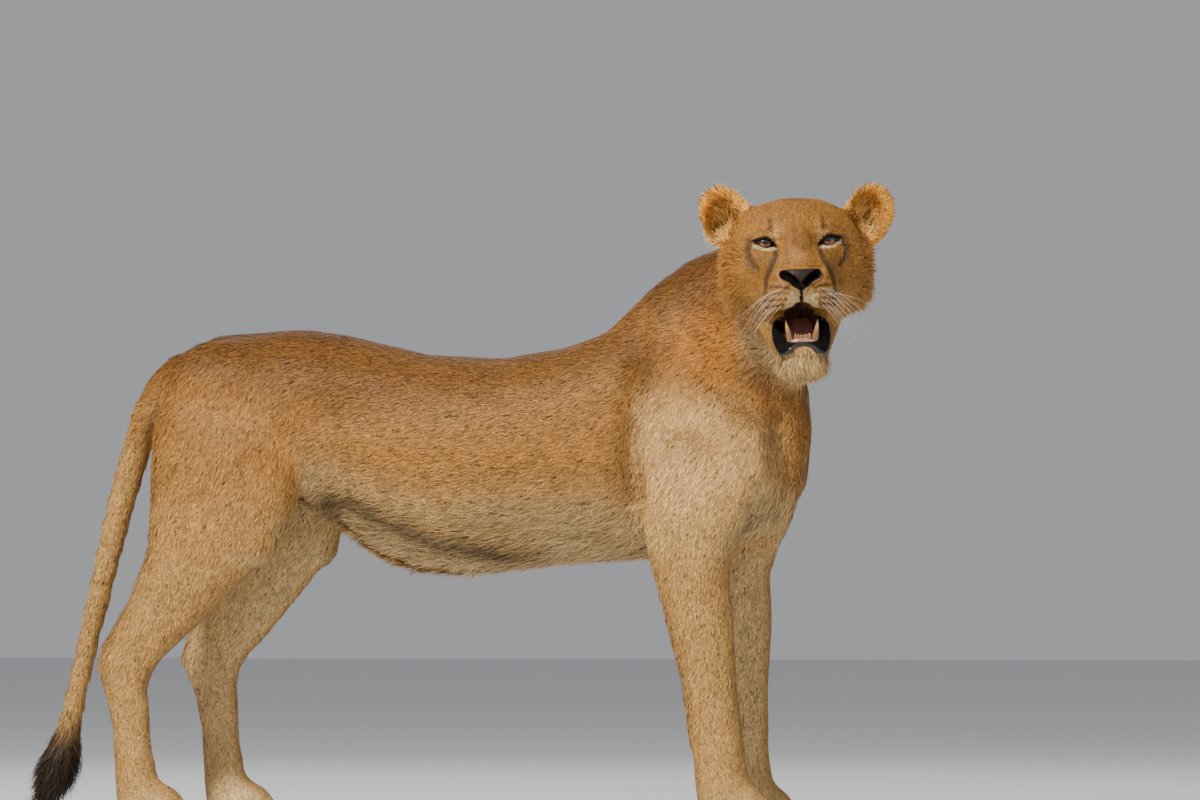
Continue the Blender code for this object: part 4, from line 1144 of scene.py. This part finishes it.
class Finish:
    """A material and the nodes that make it."""

    def __init__(self, name):
        self.material = bpy.data.materials.new(name)
        self.material.use_nodes = True
        self.tree = self.material.node_tree
        self.surface = self.tree.nodes["Principled BSDF"]

    def node(self, kind, settings=None, sockets=(), output=0):
        node = self.tree.nodes.new(kind)
        for name, value in (settings or {}).items():
            setattr(node, name, value)
        pairs = sockets.items() if isinstance(sockets, dict) else enumerate(sockets)
        for name, value in pairs:
            self.set(node.inputs[name], value)
        return Value(self, node.outputs[output])

    def set(self, socket, value):
        if isinstance(value, Value):
            self.tree.links.new(value.socket, socket)
        elif isinstance(value, tuple) and len(value) == 3 and socket.type == "RGBA":
            socket.default_value = (*value, 1)
        else:
            socket.default_value = value

    def surface_is(self, **values):
        for name, value in values.items():
            self.set(self.surface.inputs[name.replace("_", " ")], value)
        return self.material

    def places(self):
        return self.node("ShaderNodeTexCoord", output="Object")

    def read(self, name, output="Fac"):
        return self.node("ShaderNodeAttribute", {"attribute_name": name}, output=output)

    def noise(self, scale, detail=2.0, roughness=0.5, places=None):
        return self.node("ShaderNodeTexNoise", sockets={"Vector": places or self.places(), "Scale": scale,
                                                        "Detail": detail, "Roughness": roughness})

    def between(self, value, start, end, low=0.0, high=1.0):
        return self.node("ShaderNodeMapRange", {"interpolation_type": "SMOOTHSTEP"},
                         {"Value": value, "From Min": start, "From Max": end, "To Min": low, "To Max": high})

    def mix(self, share, under, over):
        settings = {"data_type": "RGBA", "blend_type": "MIX"}
        return self.node("ShaderNodeMix", settings, {0: share, 6: under, 7: over}, 2)

    def scaled(self, colour, amount):
        """A colour made lighter or darker by an amount that varies."""
        return self.node("ShaderNodeVectorMath", {"operation": "SCALE"}, {0: colour, "Scale": amount})

    def bump(self, height, distance, strength=1.0):
        return self.node("ShaderNodeBump", sockets={"Height": height, "Distance": distance, "Strength": strength})


def skin_finish():
    """Short hair seen from afar under the tufts, in the animal's markings."""
    hide = Finish("skin")
    grain = hide.noise(420, 2, 0.6)
    patches = hide.noise(38, 3)
    colour = hide.scaled(hide.read("marking", "Vector"), 0.5 + grain * 0.55 + patches * 0.25)
    wet = hide.read("bare")
    return hide.surface_is(Base_Color=colour, Roughness=0.8 - wet * 0.2, Coat_Weight=wet * 0.05,
                           Coat_Roughness=0.3, Specular_IOR_Level=0.05,
                           Normal=hide.bump(grain + hide.noise(900, 1) * 0.5, 0.0006, 0.6))


def coat_finish():
    hair = Finish("coat")
    along = hair.read("along")
    patches = hair.noise(38, 3)
    ticks = hair.between(hair.noise(300, 2, 0.6), 0.34, 0.66)
    # darker at each tuft's root than at its tip: painted shade down in the coat, with the tips paler
    light = 0.24 + along * 0.44 + hair.read("shade") * 0.25 + patches * 0.46 + ticks * 0.34
    colour = hair.scaled(hair.read("marking", "Vector"), light)
    return hair.surface_is(Base_Color=colour, Roughness=0.6, Specular_IOR_Level=0.22)


def eye_finish():
    eye = Finish("eye")
    angle = eye.read("from_pupil")
    turn = eye.read("turn")
    threads = eye.noise(1.0, 3, 0.6, eye.node("ShaderNodeCombineXYZ", sockets=[turn * 9.0, angle * 6.0, 0.0]))
    iris = eye.mix(eye.between(angle + threads * 0.12, 0.2, 0.5), (0.03, 0.009, 0.002), (0.24, 0.09, 0.01))
    # painted light on the lower part of the iris, the upper part left darker as if in the lid's shade
    painted_lower_light = eye.between(turn.sine(), -0.1, -0.9) * eye.between(angle, 0.26, 0.42) * 0.8
    iris = eye.mix(painted_lower_light, iris, (0.42, 0.205, 0.04))
    iris = eye.mix(eye.between(angle, 0.47, 0.53), iris, (0.02, 0.01, 0.006))
    white = eye.mix(eye.between(angle, 0.55, 0.66), iris, (0.06, 0.036, 0.024))
    colour = eye.mix(eye.between(angle, 0.15, 0.19), (0.001, 0.001, 0.001), white)
    return eye.surface_is(Base_Color=colour, Roughness=0.35, Coat_Weight=0.35, Coat_Roughness=0.03)


def tooth_finish():
    tooth = Finish("tooth")
    stain = tooth.between(tooth.read("down"), 0.05, 0.75)
    mottle = tooth.noise(160, 3)
    colour = tooth.mix(stain * (0.75 + mottle * 0.4), (0.5, 0.3, 0.11), (0.18, 0.05, 0.008))
    return tooth.surface_is(Base_Color=tooth.mix(mottle * 0.3, colour, (0.46, 0.3, 0.13)), Roughness=0.28,
                            Coat_Weight=0.4, Coat_Roughness=0.15, Subsurface_Weight=0.0,
                            Normal=tooth.bump(tooth.noise(300, 2), 0.0002, 0.4))


def wet_finish(name, colour, other, scale, rough, grain=0.0004, gloss=0.7):
    flesh = Finish(name)
    mottle = flesh.noise(scale, 3, 0.6)
    base = flesh.mix(flesh.between(mottle, 0.38, 0.66), colour, other)
    return flesh.surface_is(Base_Color=base, Roughness=rough, Coat_Weight=gloss, Coat_Roughness=0.12,
                            Normal=flesh.bump(flesh.noise(scale * 3, 2), grain, 0.6))


def whisker_finish():
    horn = Finish("whisker")
    colour = horn.mix(horn.noise(90) * 0.5, (0.82, 0.76, 0.66), (0.6, 0.52, 0.4))
    return horn.surface_is(Base_Color=colour, Roughness=0.4)


def floor_finish():
    ground = Finish("floor")
    colour = ground.mix(ground.noise(2.0, 2) * 0.12, (0.72, 0.73, 0.74), (0.66, 0.67, 0.69))
    return ground.surface_is(Base_Color=colour, Roughness=0.85)


def coat_it(piece, material):
    piece.data.materials.clear()
    piece.data.materials.append(material)
    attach(piece, "root")
    return piece


# ---------------- the animal, put together
def inset_skin(points, normals, coat, joined):
    """The skin moved in from the flesh's outside, as deep as its hair is thick there, and kept off the floor."""
    hairy = joined.relax((coat[:, 1:2] > 0) * 1.0, 3)
    depth = joined.relax(np.clip(coat[:, :1] * INSET_SHARE, 0.0005, 0.005) * hairy, 4)
    inset = points - normals * depth
    on_floor = points[:, 2] < 0.006
    inset[:, 2] = np.maximum(np.where(on_floor, points[:, 2], inset[:, 2]), SKIN_OVER_FLOOR)
    return inset


def unwrap(skin):
    """Turns the skin into triangles and gives it a UV map: the map's places at each triangle's corners."""
    with editing(skin):
        bpy.ops.mesh.quads_convert_to_tris()
        bpy.ops.uv.smart_project(angle_limit=math.radians(66), island_margin=0.0005)
    skin.data.uv_layers.active.name = UV_NAME
    skin.data.calc_loop_triangles()
    loops = numbers(skin.data.loop_triangles, "loops", 3, np.int32)
    return numbers(skin.data.uv_layers[UV_NAME].uv, "vector", 2)[loops]


def build_animal():
    skin, joined = make_skin()
    points, normals = points_of(skin), normals_of(skin)
    names, part = nearest_part(points)
    kinds = np.array([kind_of(name) for name in names])[part]
    lie, loose = lie_of_coat(joined, kinds, points, normals)
    coat = coat_of(kinds, points, normals, loose)
    coat[:, :1] = joined.relax(coat[:, :1], 6)
    coat[:, 2:] = joined.relax(coat[:, 2:], 6)
    colour = markings(kinds, points, normals)
    colour = joined.relax(colour, 6, 0.5, 1 - on_head(points)[:, None])
    inset = inset_skin(points, normals, coat, joined)
    put_points(skin, inset)
    give(skin, "marking", colour, "FLOAT_VECTOR")
    local = to_head(points)
    nostril = ramp(flat_distance(from_middle(local), NOSTRIL), 0.01, 0.006) * (local[:, 1] > 0.06)
    give(skin, "bare", (1 - bare_of_hair(local)) * (1 - nostril))
    smooth(skin)
    uv = unwrap(skin)
    shape = {"points": inset, "normals": normals_of(skin), "lie": lie, "coat": coat, "colour": colour,
             "faces": triangles_of(skin), "uv": uv}
    return skin, shape, kinds


COATS = {  # the parts that each piece of the coat covers
    "rump": ("rump",), "belly": ("belly",), "chest": ("chest",), "neck": ("neck",), "shoulders": ("shoulder",),
    "thighs": ("thigh",), "legs": ("forearm", "shank", "forepaw", "hind_foot"), "tail": ("tail",),
    "head": ("head", "lower_jaw"), "ears": ("ear",),
}

skin, shape, kinds = build_animal()
hide, hair = skin_finish(), coat_finish()
coat_it(skin, hide)
face_kinds = kinds[shape["faces"][:, 0]]
for name, parts in COATS.items():
    for piece in grow(name, np.isin(face_kinds, parts), shape):
        coat_it(piece, hair)

tree = skin_tree(skin)
iris = eye_finish()
rim = wet_finish("lid_edge", (0.004, 0.003, 0.003), (0.009, 0.006, 0.005), 120, 0.5)
lip = wet_finish("lip", (0.003, 0.003, 0.003), (0.007, 0.006, 0.006), 90, 0.34, gloss=0.4)
for side in SIDES:
    coat_it(eye_ball(side), iris)
    coat_it(eyelids(side), rim)
coat_it(lips(tree), lip)
teeth = lower_teeth()
down = to_head(points_of(teeth))
give(teeth, "down", ramp(down[:, 2], -0.138, -0.172) + 0.25 * ramp(np.abs(down[:, 0]), 0.014, 0.012) * -1)
coat_it(teeth, tooth_finish())
coat_it(gums(), wet_finish("gum_flesh", (0.42, 0.2, 0.17), (0.3, 0.12, 0.1), 110, 0.3))
coat_it(tongue(), wet_finish("tongue_flesh", (0.26, 0.105, 0.095), (0.18, 0.065, 0.06), 220, 0.42, 0.0009))
coat_it(whiskers(tree), whisker_finish())
APART = (*IN_MOUTH, "eye_right", "eye_left")  # nodes that pieces of their own replace
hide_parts(*[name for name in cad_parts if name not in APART])
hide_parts("lower_teeth")
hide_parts("tongue")
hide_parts("eye_right")
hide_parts("eye_left")


# ---------------- floor, light and camera
def lay_floor():
    deselect()
    bpy.ops.mesh.primitive_plane_add(size=60, location=(0, 0, 0))
    ground = bpy.context.object
    ground.name = "floor"
    ground.data.materials.append(floor_finish())


def aim(obj, target):
    obj.rotation_euler = (Vector(target) - obj.location).to_track_quat("-Z", "Y").to_euler()


def lamp(name, place, target, power, size, colour=(1, 1, 1)):
    light = bpy.data.lights.new(name, "AREA")
    light.energy = power
    light.size = size
    light.color = colour
    obj = bpy.data.objects.new(name, light)
    obj.location = place
    aim(obj, target)
    bpy.context.scene.collection.objects.link(obj)


def set_camera():
    """The view from a little ahead of square to the animal's side, low and from far away."""
    ahead, aside = math.cos(VIEW_TURN), math.sin(VIEW_TURN)
    centre = Vector((VIEW_AHEAD * ahead, VIEW_AHEAD * aside, VIEW_UP)) + Vector(MIDLINE)
    camera = bpy.data.objects.new("camera", bpy.data.cameras.new("camera"))
    camera.data.lens = LENS
    camera.data.sensor_width = 36
    camera.data.clip_end = 200
    camera.location = (centre.x + VIEW_DISTANCE * aside, centre.y - VIEW_DISTANCE * ahead, VIEW_HEIGHT)
    aim(camera, centre)
    bpy.context.scene.collection.objects.link(camera)
    bpy.context.scene.camera = camera


def set_sky():
    world = bpy.data.worlds.new("studio")
    world.use_nodes = True
    back = world.node_tree.nodes["Background"]
    back.inputs["Color"].default_value = (0.86, 0.88, 0.92, 1)
    back.inputs["Strength"].default_value = 0.42
    bpy.context.scene.world = world


lay_floor()
set_sky()
lamp("key", (-1.6, -4.6, 6.0), (0.1, 0, 0.6), 900, 0.8, (1.0, 0.95, 0.86))
lamp("fill", (4.5, -3.4, 2.2), (0, 0, 0.6), 60, 4.0, (0.9, 0.95, 1.0))
lamp("back", (-1.0, 5.0, 4.0), (0, 0, 0.8), 60, 3.0)
set_camera()
